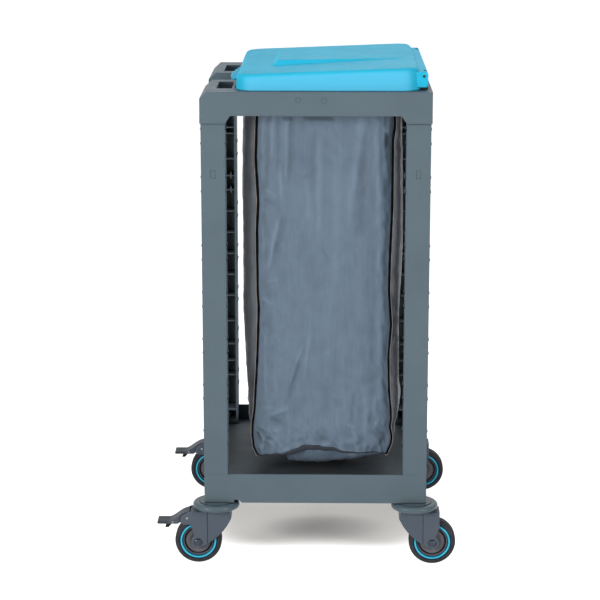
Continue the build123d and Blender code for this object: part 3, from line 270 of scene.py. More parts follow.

# %% [markdown]
# ## Second colours and painted light
#
# Four of these pieces get a second colour. The ring on each wheel is pale along its crown, with a deep blue painted
# shade on the flanks that go down to tyre and hub; its own direction tells one from the other. So it does on the lid,
# whose front and back skirts get a paler painted highlight than its top, its corners and its hinge. The brake pedal has
# a darker grip on its toe and a black hook under it; there a height and a length decide. The tray's floor gets a
# browner painted shade, and both its height and its direction tell it from the rest of the frame.

# %% Second colours and painted light
CROWN_END = (0.965, 0.89)  # how far the ring looks along the axle, from crown to flank
SKIRT_END = (0.70, 0.99)  # how far the lid looks forwards or backwards, from its corners to its skirts
KNUCKLE = 0.021  # metres that the hinge takes at the lid's end
TOE_END = (-0.2900, -0.3000)  # along X, where the lever goes over to the grip
HOOK_TOP = (0.0886, 0.0878)  # along Z
TRAY_FLOOR, LOOKS_UP = (0.176, 0.172), (0.85, 0.95)  # along Z
TRAY_FLOOR_SHADE = (0.86, 0.76, 0.74, 1.0)  # painted shade: what is left of the colour on the tray's floor
SECOND_SPREAD = 1.02  # second colour at its fullest, over where it starts


def part_of(source, axis, ends):
    """Grey value that goes from 0 to 1 between two values of a coordinate."""
    along = add_node(source, "SeparateXYZ", {"Vector": source}).outputs[axis]
    return add_node(source, "MapRange", {"Value": along, "From Min": ends[0], "From Max": ends[1]}).outputs["Result"]


def looking(material):
    """Vector socket with how far a surface looks along each axis, either way."""
    direction = add_node(shader_of(material), "TexCoord").outputs["Normal"]
    return add_node(direction, "VectorMath", {0: direction}, operation="ABSOLUTE").outputs["Vector"]


def product(first, second):
    """Value socket of two values multiplied."""
    return of_two("Math", "MULTIPLY", first, second)


def over_colour(material, share, second, **settings):
    """Mixes a second colour into a finish's own colour, by a grey value."""
    first = shader_of(material).inputs["Base Color"].links[0].from_socket
    fill(shader_of(material), {"Base Color": mixed(share, first, second, **settings)})


def second_colour_and_painted_light(material, share, red, green, blue):
    """Lays a screen colour over a finish's own colour, by a grey value."""
    colour = screen_colour(red, green, blue)
    over_colour(material, share, between(share, (0, 1), colour, scaled(colour, SECOND_SPREAD)))


frame_plastic, lid_plastic, *_, pedal_plastic, ring_plastic = finishes.values()
# painted shade: deep blue on the ring's flanks, where the groove between tyre and hub is in shade
second_colour_and_painted_light(ring_plastic, part_of(looking(ring_plastic), "Y", CROWN_END), 8, 92, 128)
knuckle_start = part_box("lid")[1].x - KNUCKLE
before_knuckle = part_of(object_place(lid_plastic), "X", (knuckle_start, knuckle_start - KNUCKLE))
skirt = part_of(looking(lid_plastic), "Y", SKIRT_END)
# painted highlight: paler front and back skirts, as if a soft box were reflected in them
second_colour_and_painted_light(lid_plastic, product(skirt, before_knuckle), 94, 207, 246)
pedal_place = object_place(pedal_plastic)
second_colour_and_painted_light(pedal_plastic, part_of(pedal_place, "X", TOE_END), 66, 74, 78)
second_colour_and_painted_light(pedal_plastic, part_of(pedal_place, "Z", HOOK_TOP), 14, 15, 17)
low_enough = part_of(object_place(frame_plastic), "Z", TRAY_FLOOR)
tray_floor = product(part_of(looking(frame_plastic), "Z", LOOKS_UP), low_enough)
# painted shade: the tray's floor is darker and browner where the bag and the uprights shade it
over_colour(frame_plastic, tray_floor, TRAY_FLOOR_SHADE, blend_type="MULTIPLY")
print("second colours and painted light:", [m.name for m in (ring_plastic, lid_plastic, pedal_plastic, frame_plastic)])

# %% [markdown]
# ## Tyre rubber
#
# The tyres are dark grey rubber that has rolled over dusty floors. Rubber is matt, with a dry bloom that gathers in
# uneven patches. Two clouds do that: a coarse one for the bloom and a fine one for the skin.

# %% Tyre rubber
BLOOM_PER_METRE, BLOOM_RANGE = 60.0, (0.42, 0.72)
RUBBER_ROUGHNESS = (0.62, 0.85)  # bare and with bloom
SKIN_PER_METRE, SKIN_STRENGTH, SKIN_DEPTH = 900.0, 0.4, 0.0002
RUBBER_EDGE = 0.001


def tyre_rubber_finish(name, colour, bloom):
    """Matt rubber with patches of dry bloom."""
    material, shader, place = new_finish(name, colour, 0.75, 0.15)
    patches = noise_at(place, BLOOM_PER_METRE, detail=6.0, roughness=0.65)
    skin, soft = noise_at(place, SKIN_PER_METRE), soft_edges(place, RUBBER_EDGE)
    fill(shader, {"Base Color": between(patches, BLOOM_RANGE, colour, bloom),
                  "Roughness": between(patches, CLOUD_RANGE, *map(grey, RUBBER_ROUGHNESS)),
                  "Normal": bumped(skin, SKIN_STRENGTH, SKIN_DEPTH, Normal=soft)})
    return material


tyre_rubber = tyre_rubber_finish("tyre_rubber", screen_colour(52, 52, 57), screen_colour(74, 74, 78))
print("rubber:", tyre_rubber.name)

# %% [markdown]
# ## Zinc-plated steel
#
# Stems, nuts, screws, bearings, springs and the bag's hoop are plated steel: a bright grey metal with fine turning
# marks and a cloudy film. Pins and axles are darker. A noise that is stretched along one axis gives the marks.

# %% Zinc-plated steel
FILM_PER_METRE, FILM_SHADE = 180.0, 0.8
FILM_RANGE, STEEL_ROUGHNESS = (0.3, 0.75), (0.25, 0.45)
MARKS_PER_METRE, MARKS_STRENGTH, MARKS_DEPTH = (3000.0, 120.0, 3000.0), 0.2, 0.00005


def plated_steel(name, colour):
    """Plated steel with fine marks and a cloudy film."""
    material, shader, place = new_finish(name, colour, 0.32)
    film = noise_at(place, FILM_PER_METRE, detail=4.0)
    marks = noise_at(stretched(place, MARKS_PER_METRE), 1.0)
    fill(shader, {"Metallic": 1.0, "Base Color": between(film, CLOUD_RANGE, scaled(colour, FILM_SHADE), colour),
                  "Roughness": between(film, FILM_RANGE, *map(grey, STEEL_ROUGHNESS)),
                  "Normal": bumped(marks, MARKS_STRENGTH, MARKS_DEPTH)})
    return material


zinc_steel = plated_steel("zinc_steel", screen_colour(150, 152, 156))
dark_steel = plated_steel("dark_steel", screen_colour(66, 71, 80))
print("metals:", zinc_steel.name, dark_steel.name)

# %% [markdown]
# ## Nylon cloth
#
# The bag is coated nylon: a tight plain weave with a soft sheen, blue-grey on the front and back and a browner grey
# on the two sides. The weave is drawn from the cloth's own flat coordinates, which run along the threads and are kept
# in the mesh, so it follows every fold. Two fine waves, one for each direction of thread, make the little hills, and a
# noise that is drawn out upwards gives the slubs, the thicker places of a thread. The crests of the folds get a paler
# painted highlight and the hollows a darker painted shade; the mesh says how high each point lies in its fold, and a
# cloud makes that painted shading uneven.

# %% Nylon cloth
THREADS_PER_METRE = 1600.0
WAVES_PER_UNIT = 20  # bands that the wave texture draws at a scale of 1
WEAVE_STRENGTH, WEAVE_DEPTH = 0.25, 0.0002
CUT_MAP = "cut"  # the flat coordinates of the cloth, in metres
CREST_MAP = "crest"  # 0 in a hollow of the cloth, 1 on a crest
CREST_RANGE = (0.18, 1.0)
# a cloud that makes the painted crest highlight and hollow shade uneven, and varies the roughness
CLOTH_CLOUD_PER_METRE, CREST_CLOUD_SHARE = 14.0, 0.35
COATING_SPREAD = 0.06  # of the roughness, both ways
SLUBS_PER_METRE = (170.0, 15.0, 1.0)  # thicker places in the threads, long and upright
SLUB_SHARE = 0.09  # how much darker the cloth is between them
SHEEN_ROUGHNESS = 0.4


def thread_waves(flat, direction):
    """Grey wave across one direction of thread."""
    inputs = {"Vector": flat, "Scale": THREADS_PER_METRE / WAVES_PER_UNIT, "Distortion": 0.6, "Detail": 1.0}
    return add_node(flat, "TexWave", inputs, wave_type="BANDS", bands_direction=direction).outputs["Fac"]


def crest_highlight_and_hollow_shade(colour, painted_fold_shading, cloud):
    """Colour socket with painted highlight on the cloth's crests and painted shade in its hollows, unevenly."""
    height = add_node(cloud, "Attribute", attribute_name=CREST_MAP).outputs["Fac"]
    both = add_node(cloud, "Math", {0: cloud, 1: CREST_CLOUD_SHARE, 2: height}, operation="MULTIPLY_ADD")
    return between(both.outputs["Value"], CREST_RANGE, scaled(colour, 1.0 - painted_fold_shading), scaled(colour, 1.0 + painted_fold_shading))


def nylon(name, colour, sheen, roughness, shine, painted_fold_shading):
    """Woven, coated nylon with painted highlight on its crests and painted shade in its hollows."""
    material, shader, place = new_finish(name, colour, roughness, shine)
    flat = add_node(place, "UVMap", uv_map=CUT_MAP).outputs["UV"]
    cloth_cloud = noise_at(place, CLOTH_CLOUD_PER_METRE, detail=6.0, roughness=0.6)
    slubs = noise_at(stretched(flat, SLUBS_PER_METRE), 1.0, detail=4.0, roughness=0.6)
    slub_tint = between(slubs, CLOUD_RANGE, grey(1.0 - SLUB_SHARE), grey(1.0))
    roughnesses = grey(roughness - COATING_SPREAD), grey(roughness + COATING_SPREAD)
    weave = of_two("Math", "MAXIMUM", thread_waves(flat, "X"), thread_waves(flat, "Y"))
    fill(shader, {"Sheen Weight": sheen, "Sheen Roughness": SHEEN_ROUGHNESS,
                  "Base Color": mixed(1.0, crest_highlight_and_hollow_shade(colour, painted_fold_shading, cloth_cloud), slub_tint, blend_type="MULTIPLY"),
                  "Roughness": between(cloth_cloud, CLOUD_RANGE, *roughnesses),
                  "Normal": bumped(weave, WEAVE_STRENGTH, WEAVE_DEPTH)})
    return material


# name, colour, sheen, roughness, shine, share of painted highlight on crests and painted shade in hollows
face_nylon = nylon("face_nylon", screen_colour(109, 126, 143), 0.08, 0.42, 0.2, 0.24)
side_nylon = nylon("side_nylon", screen_colour(118, 122, 129), 0.08, 0.5, 0.12, 0.14)
tape_nylon = nylon("tape_nylon", screen_colour(10, 11, 14), 0.0, 0.7, 0.04, 0.0)
# painted shade: the lower tape's dark colour also stands for the shade under the bag's lower edge
foot_tape_and_shade_nylon = nylon("foot_tape_and_shade_nylon", screen_colour(66, 69, 77), 0.0, 0.6, 0.08, 0.0)
piping_nylon = nylon("piping_nylon", screen_colour(172, 166, 160), 0.0, 0.6, 0.1, 0.0)
print("cloths:", [m.name for m in bpy.data.materials if m.name.endswith("nylon")])

# %% [markdown]
# ## A finish for every construction part
#
# The construction model names a finish for each of its nodes. The plastics above already go by those names, so their
# dictionary only needs the rubber, the steel and the cloth as well, and a loop hands them out. The bag's plain solid
# gets its cloth too, although it is hidden later. Pins and axles then get the darker steel.

# %% A finish for every construction part
finishes.update({"tyre_rubber": tyre_rubber, "steel": zinc_steel, "bag_cloth": face_nylon})
for subpart in frame["record"]["subparts"]:
    node = frame["nodes"][subpart["node"]]
    node.data.materials.clear()
    node.data.materials.append(finishes[subpart["material_slot"]])
for name, node in frame["nodes"].items():
    if name.startswith(("hinge_pin", "wheel_axle")):
        node.data.materials[0] = dark_steel

# %% [markdown]
# ## Mould marks
#
# On the front rail two faint round marks show where the mould's ejectors pushed the frame out. They are only a few
# tenths of a millimetre high, so each is a shallow disc with a lip, turned from a short profile and laid on the rail.

# %% Mould marks
MARK_PROFILE = ((0.0064, -0.0001), (0.0056, 0.0007), (0.0046, 0.0007), (0.0038, 0.0001))  # radius, rise
MARK_PLACES = (-0.0178, 0.0347)  # along the rail
MARK_HEIGHT = 0.999
MARK_STEPS = 32


def ring_squares(count, sides):
    """Numbers of points on so many rings, and the squares between one ring and the next."""
    numbers = np.arange(count * sides).reshape(-1, sides)
    nexts = np.roll(numbers, -1, axis=1)
    squares = np.stack((numbers[:-1], nexts[:-1], nexts[1:], numbers[1:]), axis=-1)
    return numbers.tolist(), squares.reshape(-1, 4).tolist()


def new_mesh(name, points, faces, *materials):
    """A mesh of points and faces, with its finishes."""
    mesh = bpy.data.meshes.new(name)
    mesh.from_pydata(points, [], faces)
    for material in materials:
        mesh.materials.append(material)
    return mesh


rail_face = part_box("top_frame")[0].y
turns = [2 * math.pi * step / MARK_STEPS for step in range(MARK_STEPS)]
rings, sides = ring_squares(len(MARK_PROFILE), MARK_STEPS)
middle = len(MARK_PROFILE) * MARK_STEPS
sides += [(middle, start, end) for start, end in zip(rings[-1], rings[-1][1:] + rings[-1][:1])]
for number, along in enumerate(MARK_PLACES):
    marks = [(along + radius * math.cos(turn), rail_face - rise, MARK_HEIGHT + radius * math.sin(turn))
             for radius, rise in MARK_PROFILE for turn in turns]
    marks.append((along, rail_face - MARK_PROFILE[-1][1], MARK_HEIGHT))
    name = "mould_mark_" + str(number)
    mark = show(name, new_mesh(name, marks, sides, frame_plastic))
    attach(mark, "frame")
print("mould marks at", MARK_PLACES, "on the rail's face at", round(rail_face, 4))

# %% [markdown]
# ## The bag's shape by height
#
# The bag hangs from a wire hoop that lies on a ledge in the top frame. Near the hoop its plan is a rectangle with
# round corners; lower down the corners get sharper, the sides lean in a little, and the four upright seams wander,
# because sewn tape never hangs quite straight. Each of these is written as a short list of heights with a size at
# each, in millimetres from the bag's middle line, and the sizes between them are interpolated.

# %% The bag's shape by height
WIRE = 0.006  # thickness of the hoop's wire
LEDGE_CLEAR = 0.0016  # cloth inside the hoop's wire, so that it passes the ledge
BASE_HEIGHT = 0.222
ARC_STEPS = 8


def metres(*rows):
    """Rows of millimetres as an array in metres."""
    return np.array(rows) / 1000


HANDLE_SIDE = metres((222, 144), (270, 150), (306, 155), (360, 157), (428, 161), (556, 165), (700, 164), (830, 163),
                     (955, 161), (985, 169))
HINGE_SIDE = metres((222, 148), (250, 155), (280, 161), (330, 167), (416, 166), (557, 165), (705, 168), (860, 165),
                    (955, 164), (985, 170))
FACE_PLANE = metres((222, 199), (300, 201), (600, 203), (985, 206.4))
CORNER = metres((222, 6), (300, 12), (450, 22), (985, 24))
SEAM_BY_HANDLE = metres((224, 136), (240, 144), (268, 147), (295, 145), (322, 141), (376, 138), (429, 135), (482, 133),
                        (549, 131), (584, 133), (715, 134), (779, 131), (869, 136), (955, 133))
SEAM_BY_HINGE = metres((228, 142), (245, 150), (261, 152), (283, 147), (302, 150), (323, 149), (364, 145), (444, 143),
                       (510, 148), (585, 143), (651, 144), (767, 148), (908, 148), (933, 152))
LOWER_EDGE = metres((-136, 224), (-109, 224), (-80, 227), (-59, 235), (-38, 244), (-12, 245), (27, 239), (53, 231),
                    (92, 229), (118, 231), (142, 228))  # across the front
BASE_LEVEL = metres((-136, 223.5), (-77, 223), (-68, 202), (-46, 196), (12, 198), (62, 204),
                    (135, 220.5))  # how low the base sags, across the front

hoop_low, hoop_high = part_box("bag_hoop")
BAG_MIDDLE = (hoop_low.x + hoop_high.x) / 2
RIM_HEIGHT = hoop_low.z


def at_height(profile, height):
    """Value in a list of (place, value), most of them heights and sizes, interpolated."""
    return float(np.interp(height, *profile.T))


def ring(height):
    """Plan of the bag at a height: a rounded rectangle from the middle of the front, first towards the hinge."""
    left, right = -at_height(HANDLE_SIDE, height), at_height(HINGE_SIDE, height)
    face, corner = at_height(FACE_PLANE, height), at_height(CORNER, height)
    centres = ((right - corner, corner - face), (right - corner, face - corner), (left + corner, face - corner),
               (left + corner, corner - face))
    points = [(0.0, -face)]
    for quarter, (x, y) in enumerate(centres):
        for step in range(ARC_STEPS + 1):
            turn = math.pi / 2 * (quarter - 1 + step / ARC_STEPS)
            points.append((x + corner * math.cos(turn), y + corner * math.sin(turn)))
    return np.array(points + [(0.0, -face)])


def travel(points):
    """Distance walked along a line of points, at each of them."""
    steps = np.linalg.norm(np.diff(points, axis=0), axis=1)
    return np.concatenate(([0.0], np.cumsum(steps)))


round_rim = travel(ring(RIM_HEIGHT))[-1]
print("the bag at its rim is", round(round_rim, 3), "m round, at", round(RIM_HEIGHT, 3), "m")

# %% [markdown]
# ## The bag's panels
#
# Four panels and a base are sewn together: front, hinge side, back, handle side. The side panels come round the
# corners, so the seams lie on the front and the back. The mesh keeps that order, with so many columns for a face
# panel and so many for a side panel, because the base is then a simple grid between them. The back is the front
# turned round. Rows run from the hoop down to the lower edge, which the sewing pulls up in the middle.

# %% The bag's panels
FACE_COLUMNS, FACE_STEP = 104, 0.0028
SIDE_COLUMNS, CLOTH_STEP = 106, 0.0044
ROWS = 176
SIDE_EDGE = 0.226  # height of the lower edge under the side panels

panel_columns = (FACE_COLUMNS, SIDE_COLUMNS, FACE_COLUMNS, SIDE_COLUMNS)
AROUND = sum(panel_columns)
column_panel = np.repeat(np.arange(4), panel_columns)
column_step = np.where(column_panel % 2 == 0, FACE_STEP, CLOTH_STEP)
cut_along = np.concatenate(([0.0], np.cumsum(column_step)))  # where each column starts on the flat cloth
column_share = np.concatenate([np.arange(count) / count for count in panel_columns])
SEAM_COLUMNS = (0, FACE_COLUMNS, FACE_COLUMNS + SIDE_COLUMNS, 2 * FACE_COLUMNS + SIDE_COLUMNS)


def row_plan(height):
    """Places of all columns in plan at a height."""
    outline = ring(height)
    walked = travel(outline)
    by_handle, by_hinge = at_height(SEAM_BY_HANDLE, height), at_height(SEAM_BY_HINGE, height)
    back_start = 2 * (ARC_STEPS + 1)
    back = walked[back_start] + outline[back_start][0]
    seams = np.array((-by_handle, by_hinge, back - by_handle, back + by_hinge, walked[-1] - by_handle))
    places = seams[column_panel] + column_share * (seams[column_panel + 1] - seams[column_panel])
    places = places % walked[-1]
    return np.stack([np.interp(places, walked, outline[:, axis]) for axis in (0, 1)], axis=1)


def lower_edge(plan):
    """Height of the lower edge under each column."""
    front, back = np.interp(plan[:, 0], *LOWER_EDGE.T), np.interp(-plan[:, 0], *LOWER_EDGE.T)
    side = np.full(AROUND, SIDE_EDGE)
    return np.choose(column_panel, (front, side, back, side))


foot = lower_edge(row_plan(BASE_HEIGHT))
wall = np.empty((ROWS + 1, AROUND, 3))
for row in range(ROWS + 1):
    down = row / ROWS
    wall[row, :, :2] = row_plan(RIM_HEIGHT - down * (RIM_HEIGHT - BASE_HEIGHT))
    wall[row, :, 2] = RIM_HEIGHT - down * (RIM_HEIGHT - foot)
wall[:, :, 0] += BAG_MIDDLE
print("panels:", ROWS, "rows of", AROUND, "columns")

# %% [markdown]
# ## Hem
#
# At the top the cloth is turned over the hoop's wire: a few more rows go up inside the wire, over it and down outside.

# %% Hem
HEM_ROWS = 7
HEM_CLEAR = 0.0006  # between wire and cloth
HEM_RADIUS = WIRE / 2 + HEM_CLEAR
HEM_START, HEM_TURN = -30.0, 200.0  # degrees from level, inside the wire, and how far round it
HOOP_CORNER = 0.030  # metres from the hoop's sides in which the cloth turns its corner
LAST_ROW = HEM_ROWS + ROWS


def unit(vectors):
    """Directions of vectors, each of length 1."""
    return vectors / np.linalg.norm(vectors, axis=1, keepdims=True)


rim = wall[0, :, :2]
outward = rim - (BAG_MIDDLE, 0.0)
straight = np.array((hoop_high.x - BAG_MIDDLE, hoop_high.y)) - WIRE / 2 - HOOP_CORNER
side_way = unit(np.maximum(np.abs(outward) - straight, 0.0) * np.sign(outward))
wire_line = rim + side_way * (WIRE / 2 + LEDGE_CLEAR)
hem = np.empty((HEM_ROWS, AROUND, 3))
for row in range(HEM_ROWS):
    turn = math.radians(HEM_START + HEM_TURN * row / (HEM_ROWS - 1))
    hem[row, :, :2] = wire_line + side_way * HEM_RADIUS * math.cos(turn)
    hem[row, :, 2] = (hoop_low.z + hoop_high.z) / 2 + HEM_RADIUS * math.sin(turn)
cloth_rows = np.concatenate((hem, wall)).reshape(-1, 3)
print("hem:", HEM_ROWS, "rows round a wire of", 1000 * WIRE, "mm")

# %% [markdown]
# ## Base
#
# The base hangs a little lower than the seam that holds it. Its grid starts from the panels' lower edge and falls to
# the sagging level within a few centimetres. Both grids are kept as numbers of points, and they share that edge.

# %% Base
BASE_FALL = 0.011  # metres over which the base falls from its edge

wall_numbers = np.arange(LAST_ROW + 1)[:, None] * AROUND + np.arange(AROUND + 1) % AROUND
base_numbers = np.empty((SIDE_COLUMNS + 1, FACE_COLUMNS + 1), int)
inner_count = (SIDE_COLUMNS - 1) * (FACE_COLUMNS - 1)
base_numbers[1:-1, 1:-1] = len(cloth_rows) + np.arange(inner_count).reshape(SIDE_COLUMNS - 1, -1)
front_seam, back_seam = SEAM_COLUMNS[1:3]
base_numbers[0], base_numbers[:, -1] = wall_numbers[-1, :front_seam + 1], wall_numbers[-1, front_seam:back_seam + 1]
base_numbers[-1, ::-1] = wall_numbers[-1, back_seam:SEAM_COLUMNS[3] + 1]
base_numbers[::-1, 0] = wall_numbers[-1, SEAM_COLUMNS[3]:]

across, deep = np.arange(1, FACE_COLUMNS) / FACE_COLUMNS, np.arange(1, SIDE_COLUMNS)[:, None] / SIDE_COLUMNS
front, back = cloth_rows[base_numbers[0, 1:-1]], cloth_rows[base_numbers[-1, 1:-1]]
left, right = cloth_rows[base_numbers[1:-1, :1]], cloth_rows[base_numbers[1:-1, -1:]]
base = front + (back - front) * deep[:, :, None]
base[:, :, 0] = left[:, :, 0] + (right - left)[:, :, 0] * across
inside = np.min([np.linalg.norm((base - edge)[:, :, :2], axis=2) for edge in (front, back, left, right)], axis=0)
from_middle = base[:, :, 0] - BAG_MIDDLE
low = (1 - deep) * np.interp(from_middle, *BASE_LEVEL.T) + deep * np.interp(-from_middle, *BASE_LEVEL.T)
base[:, :, 2] = low + (base[:, :, 2] - low) * np.exp(-inside / BASE_FALL)
start_points = np.concatenate((cloth_rows, base.reshape(-1, 3)))
print("cloth points:", len(start_points))

# %% [markdown]
# ## Sewing the mesh
#
# Faces join the points: rows of squares down the hem and the panels, then a grid of squares for the base, whose edge
# is the last row of the panels. Each face gets its panel's finish, and each corner its flat place for the weave.

# %% Sewing the mesh
def squares_of(grid):
    """Corners of each square of a grid: a point, the one below it, and on round the square."""
    return np.stack((grid[:-1, :-1], grid[1:, :-1], grid[1:, 1:], grid[:-1, 1:]), axis=2)


def flat_places(numbers):
    """Flat coordinates of a grid of points."""
    rows, columns = numbers.shape
    return np.stack(np.meshgrid(cut_along[:columns], np.arange(rows) * CLOTH_STEP), axis=2)


grids = (wall_numbers, base_numbers)
faces = np.concatenate([squares_of(numbers).reshape(-1, 4) for numbers in grids]).tolist()
flats = np.concatenate([squares_of(flat_places(numbers)).ravel() for numbers in grids])
face_finishes = np.tile(column_panel % 2, LAST_ROW).tolist() + [0] * SIDE_COLUMNS * FACE_COLUMNS


def cloth_mesh(name, places):
    """The sewn bag with its points in one of their shapes."""
    mesh = new_mesh(name, places.tolist(), faces, face_nylon, side_nylon)
    mesh.uv_layers.new(name=CUT_MAP).data.foreach_set("uv", flats.astype(np.float32))
    mesh.polygons.foreach_set("material_index", face_finishes)
    mesh.shade_smooth()
    mesh.update()
    return mesh


print("cloth faces:", len(faces))

# %% [markdown]
# ## Folds, as lines on the panels
#
# A nylon bag that hangs empty is not smooth: spare cloth at the hoop runs down in long soft folds, and the tape pulls
# slanting ones in from the seams. A cloth simulation would find folds of its own, but these are the ones of a certain
# bag, so each is written as a straight line on the panel, with a width and a height: a ridge when positive, a valley
# when negative.

# %% Folds, as lines on the panels
# along the panel and height of both ends, half width and height of the fold, in millimetres
FACE_FOLDS = metres(
    (-120, 985, -124, 810, 3.6, 3), (-110, 985, -112, 800, 4, -2.2), (-98, 985, -103, 870, 3.6, 2.8),
    (-86, 985, -90, 840, 4.8, -2), (-69, 985, -73, 815, 4, 3), (-60, 985, -65, 820, 9, -2.2),
    (-86, 860, -80, 780, 3.6, 2.6), (-119, 806, -89, 785, 3.6, 3), (-121, 784, -94, 772, 4, -2.4),
    (-84, 755, -114, 622, 4.4, 3.4), (-74, 745, -100, 640, 7, -2.4), (-125, 745, -121, 660, 3.6, 2.2),
    (-119, 605, -89, 611, 3.6, 2.2), (-28, 830, -26, 730, 8, 1.8), (-14, 930, -18, 800, 10, -1.8),
    (-2, 920, -4, 690, 7, 2), (4, 680, 18, 645, 3.6, -1.4), (90, 985, 58, 720, 8, 3.4),
    (86, 930, 83, 700, 11, -3), (116, 985, 128, 690, 10, 4.2), (127, 760, 129, 265, 10, 3.6),
    (127, 975, 134, 840, 3.2, 2), (130, 932, 148, 927, 4, 3.6), (40, 960, 30, 560, 12, 2),
    (-127, 573, -104, 554, 3.6, 2.8), (-122, 509, -109, 492, 3.6, 2.4), (-118, 500, -120, 340, 3.6, 2.2),
    (-23, 495, -36, 380, 4.4, 2.8), (-38, 468, -66, 382, 3.6, 2.4), (-44, 435, -72, 334, 8, -3.4),
    (-107, 313, -66, 328, 3.4, 4.2), (-107, 304, -82, 294, 4.8, -3.2), (-121, 328, -84, 327, 3.6, 1.8),
    (-139, 282, -117, 250, 3.4, 3.4), (-135, 288, -105, 276, 3.4, 2.8), (-128, 262, -100, 256, 4.4, -2.8),
    (-132, 236, -116, 246, 3.4, 3.2), (-103, 276, -82, 282, 3.4, 2.4), (-100, 262, -80, 238, 4, 2.4),
    (-83, 230, -66, 238, 3.4, 2.6), (73, 370, 66, 290, 4.4, -2.4), (98, 390, 96, 262, 8, 2),
    (119, 356, 116, 300, 4.8, 2.4), (66, 280, 84, 250, 3.6, 2.8), (117, 298, 134, 277, 3.6, 3),
    (112, 262, 130, 254, 3.6, 2.6), (134, 278, 141, 250, 4.4, -4.4), (-50, 250, -24, 260, 3.6, -2.4),
    (-4, 260, 28, 248, 3.6, -2.4), (10, 445, 28, 465, 3.6, 1.6), (34, 330, 40, 255, 4.8, 2),
    (12, 400, 8, 300, 8, -1.6), (-82, 955, -56, 955, 3.6, -4), (-42, 956, 30, 956, 4, -5.5),
)
SIDE_FOLDS = metres(
    (-165, 985, -160, 560, 10, 5), (-120, 985, -110, 640, 12, -5), (-70, 985, -85, 480, 14, 6),
    (0, 985, 12, 620, 13, -5), (60, 985, 50, 420, 15, 6), (115, 985, 125, 600, 12, -5),
    (150, 985, 145, 700, 10, 4.5), (-150, 380, -80, 260, 10, 5), (140, 360, 70, 250, 10, 5),
    (-20, 420, 20, 260, 12, -4),
)
print("folds on a face panel:", len(FACE_FOLDS), "and on a side panel:", len(SIDE_FOLDS))

# %% [markdown]
# ## Pressing the folds in
#
# Each fold's height dies away at both ends, and all of them near the seams. The back panel has the same folds as the
# front, turned round. The seam on the hinge side is also drawn back a little, most of all near its top, where the side
# panel pulls on it.

# %% Pressing the folds in
FOLD_EASE = 0.012  # metres from a seam over which folds grow
SEAM_BACK = metres((240, 0), (320, 2), (700, 2.4), (850, 3.6), (930, 5), (970, 3), (989, 0))  # by height
SEAM_BACK_REACH = 0.008
FACING = np.array(((0, -1, 0), (1, 0, 0), (0, 1, 0), (-1, 0, 0)))  # way out of each panel


def fold_height(folds, across, height):
    """Height of all folds of a panel together, at a place on it."""
    total = np.zeros_like(across)
    for start_across, start_height, end_across, end_height, half_width, rise in folds:
        line = np.array((end_across - start_across, end_height - start_height))
        length = np.linalg.norm(line)
        share = ((across - start_across) * line[0] + (height - start_height) * line[1]) / length ** 2
        aside = ((across - start_across) * line[1] - (height - start_height) * line[0]) / length
        fade = np.clip(1.0 - (2.0 * np.clip(share, -0.5, 1.5) - 1.0) ** 4, 0.0, 1.0)
        total += rise * fade * np.exp(-(aside / half_width) ** 2)
    return total


rows_below_hem = slice((HEM_ROWS + 1) * AROUND, len(cloth_rows))
folded_points = start_points.copy()
walls = folded_points[rows_below_hem]
wall_panel = np.tile(column_panel, ROWS)
wall_share = np.tile(column_share, ROWS)
wall_width = np.array(panel_columns)[wall_panel] * np.tile(column_step, ROWS)
to_seam = wall_width * np.minimum(wall_share, 1 - wall_share)
across = np.choose(wall_panel, (walls[:, 0] - BAG_MIDDLE, walls[:, 1], BAG_MIDDLE - walls[:, 0], -walls[:, 1]))
rise = np.where(wall_panel % 2 == 0, fold_height(FACE_FOLDS, across, walls[:, 2]),
                fold_height(SIDE_FOLDS, across, walls[:, 2]))
rise *= np.clip(to_seam / FOLD_EASE, 0.0, 1.0)
walls += FACING[wall_panel] * rise[:, None]
wall_along = np.tile(cut_along[:-1], ROWS)
set_back = np.interp(walls[:, 2], *SEAM_BACK.T)
for seam, way in ((SEAM_COLUMNS[1], 1.0), (SEAM_COLUMNS[3], -1.0)):
    from_seam = wall_along - cut_along[seam]
    walls[:, 1] += way * set_back * np.exp(-(from_seam / SEAM_BACK_REACH) ** 2)
print("folds from", round(1000 * rise.min(), 1), "to", round(1000 * rise.max(), 1), "mm")

# %% [markdown]
# ## Creases
#
# A coated bag that has been folded for storage also keeps small sharp creases, most of them where it is stiff: next
# to the tape and round the lower corners. Each point is moved a little along its own direction by two noises: an even
# one that is stretched upwards, for the unevenness of hanging cloth, and a ridged one with sharp crests.

# %% Creases
UNEVEN, UNEVEN_PER_METRE = 0.0036, (18.0, 18.0, 5.0)  # depth in metres
CREASE_EVERYWHERE, CREASES_PER_METRE = 0.0010, (42.0, 42.0, 29.4)
CREASE_AT_SEAMS, SEAM_REACH = 0.0016, 0.025  # depth, and how far from the place it is still felt
CREASE_AT_FOOT, CREASE_AT_CORNERS, FOOT_REACH = 0.0022, 0.0012, 0.060
CREASE_EASE, UNEVEN_EASE = 0.010, 0.02  # metres from a seam, and from the foot, over which both grow
RIDGES = (0.9, 2.1, 4, 1.0, 2.0)  # roughness, step in size, number of sizes, offset and gain of the ridged noise
STREAK, STREAKS_PER_METRE = 0.0007, (75.0, 75.0, 8.0)  # fine and upright
CREST_FULL = 0.0038  # height of a crest that gets the palest painted highlight

ease = np.minimum(1.0, to_seam / CREASE_EASE)
to_foot = np.repeat(np.arange(ROWS)[::-1] * CLOTH_STEP, AROUND)
crease, share = np.zeros((2, len(folded_points)))  # how deep a point may be creased, and its share of the unevenness
crease[rows_below_hem] = ease * (CREASE_EVERYWHERE + CREASE_AT_SEAMS * np.exp(-to_seam / SEAM_REACH)
                                 + CREASE_AT_FOOT * np.exp(-to_foot / FOOT_REACH)
                                 + CREASE_AT_CORNERS * np.exp(-(to_foot + to_seam) / FOOT_REACH))
share[rows_below_hem] = ease * np.minimum(1.0, to_foot / UNEVEN_EASE)
crease[len(cloth_rows):], share[len(cloth_rows):] = CREASE_AT_FOOT, 1.0

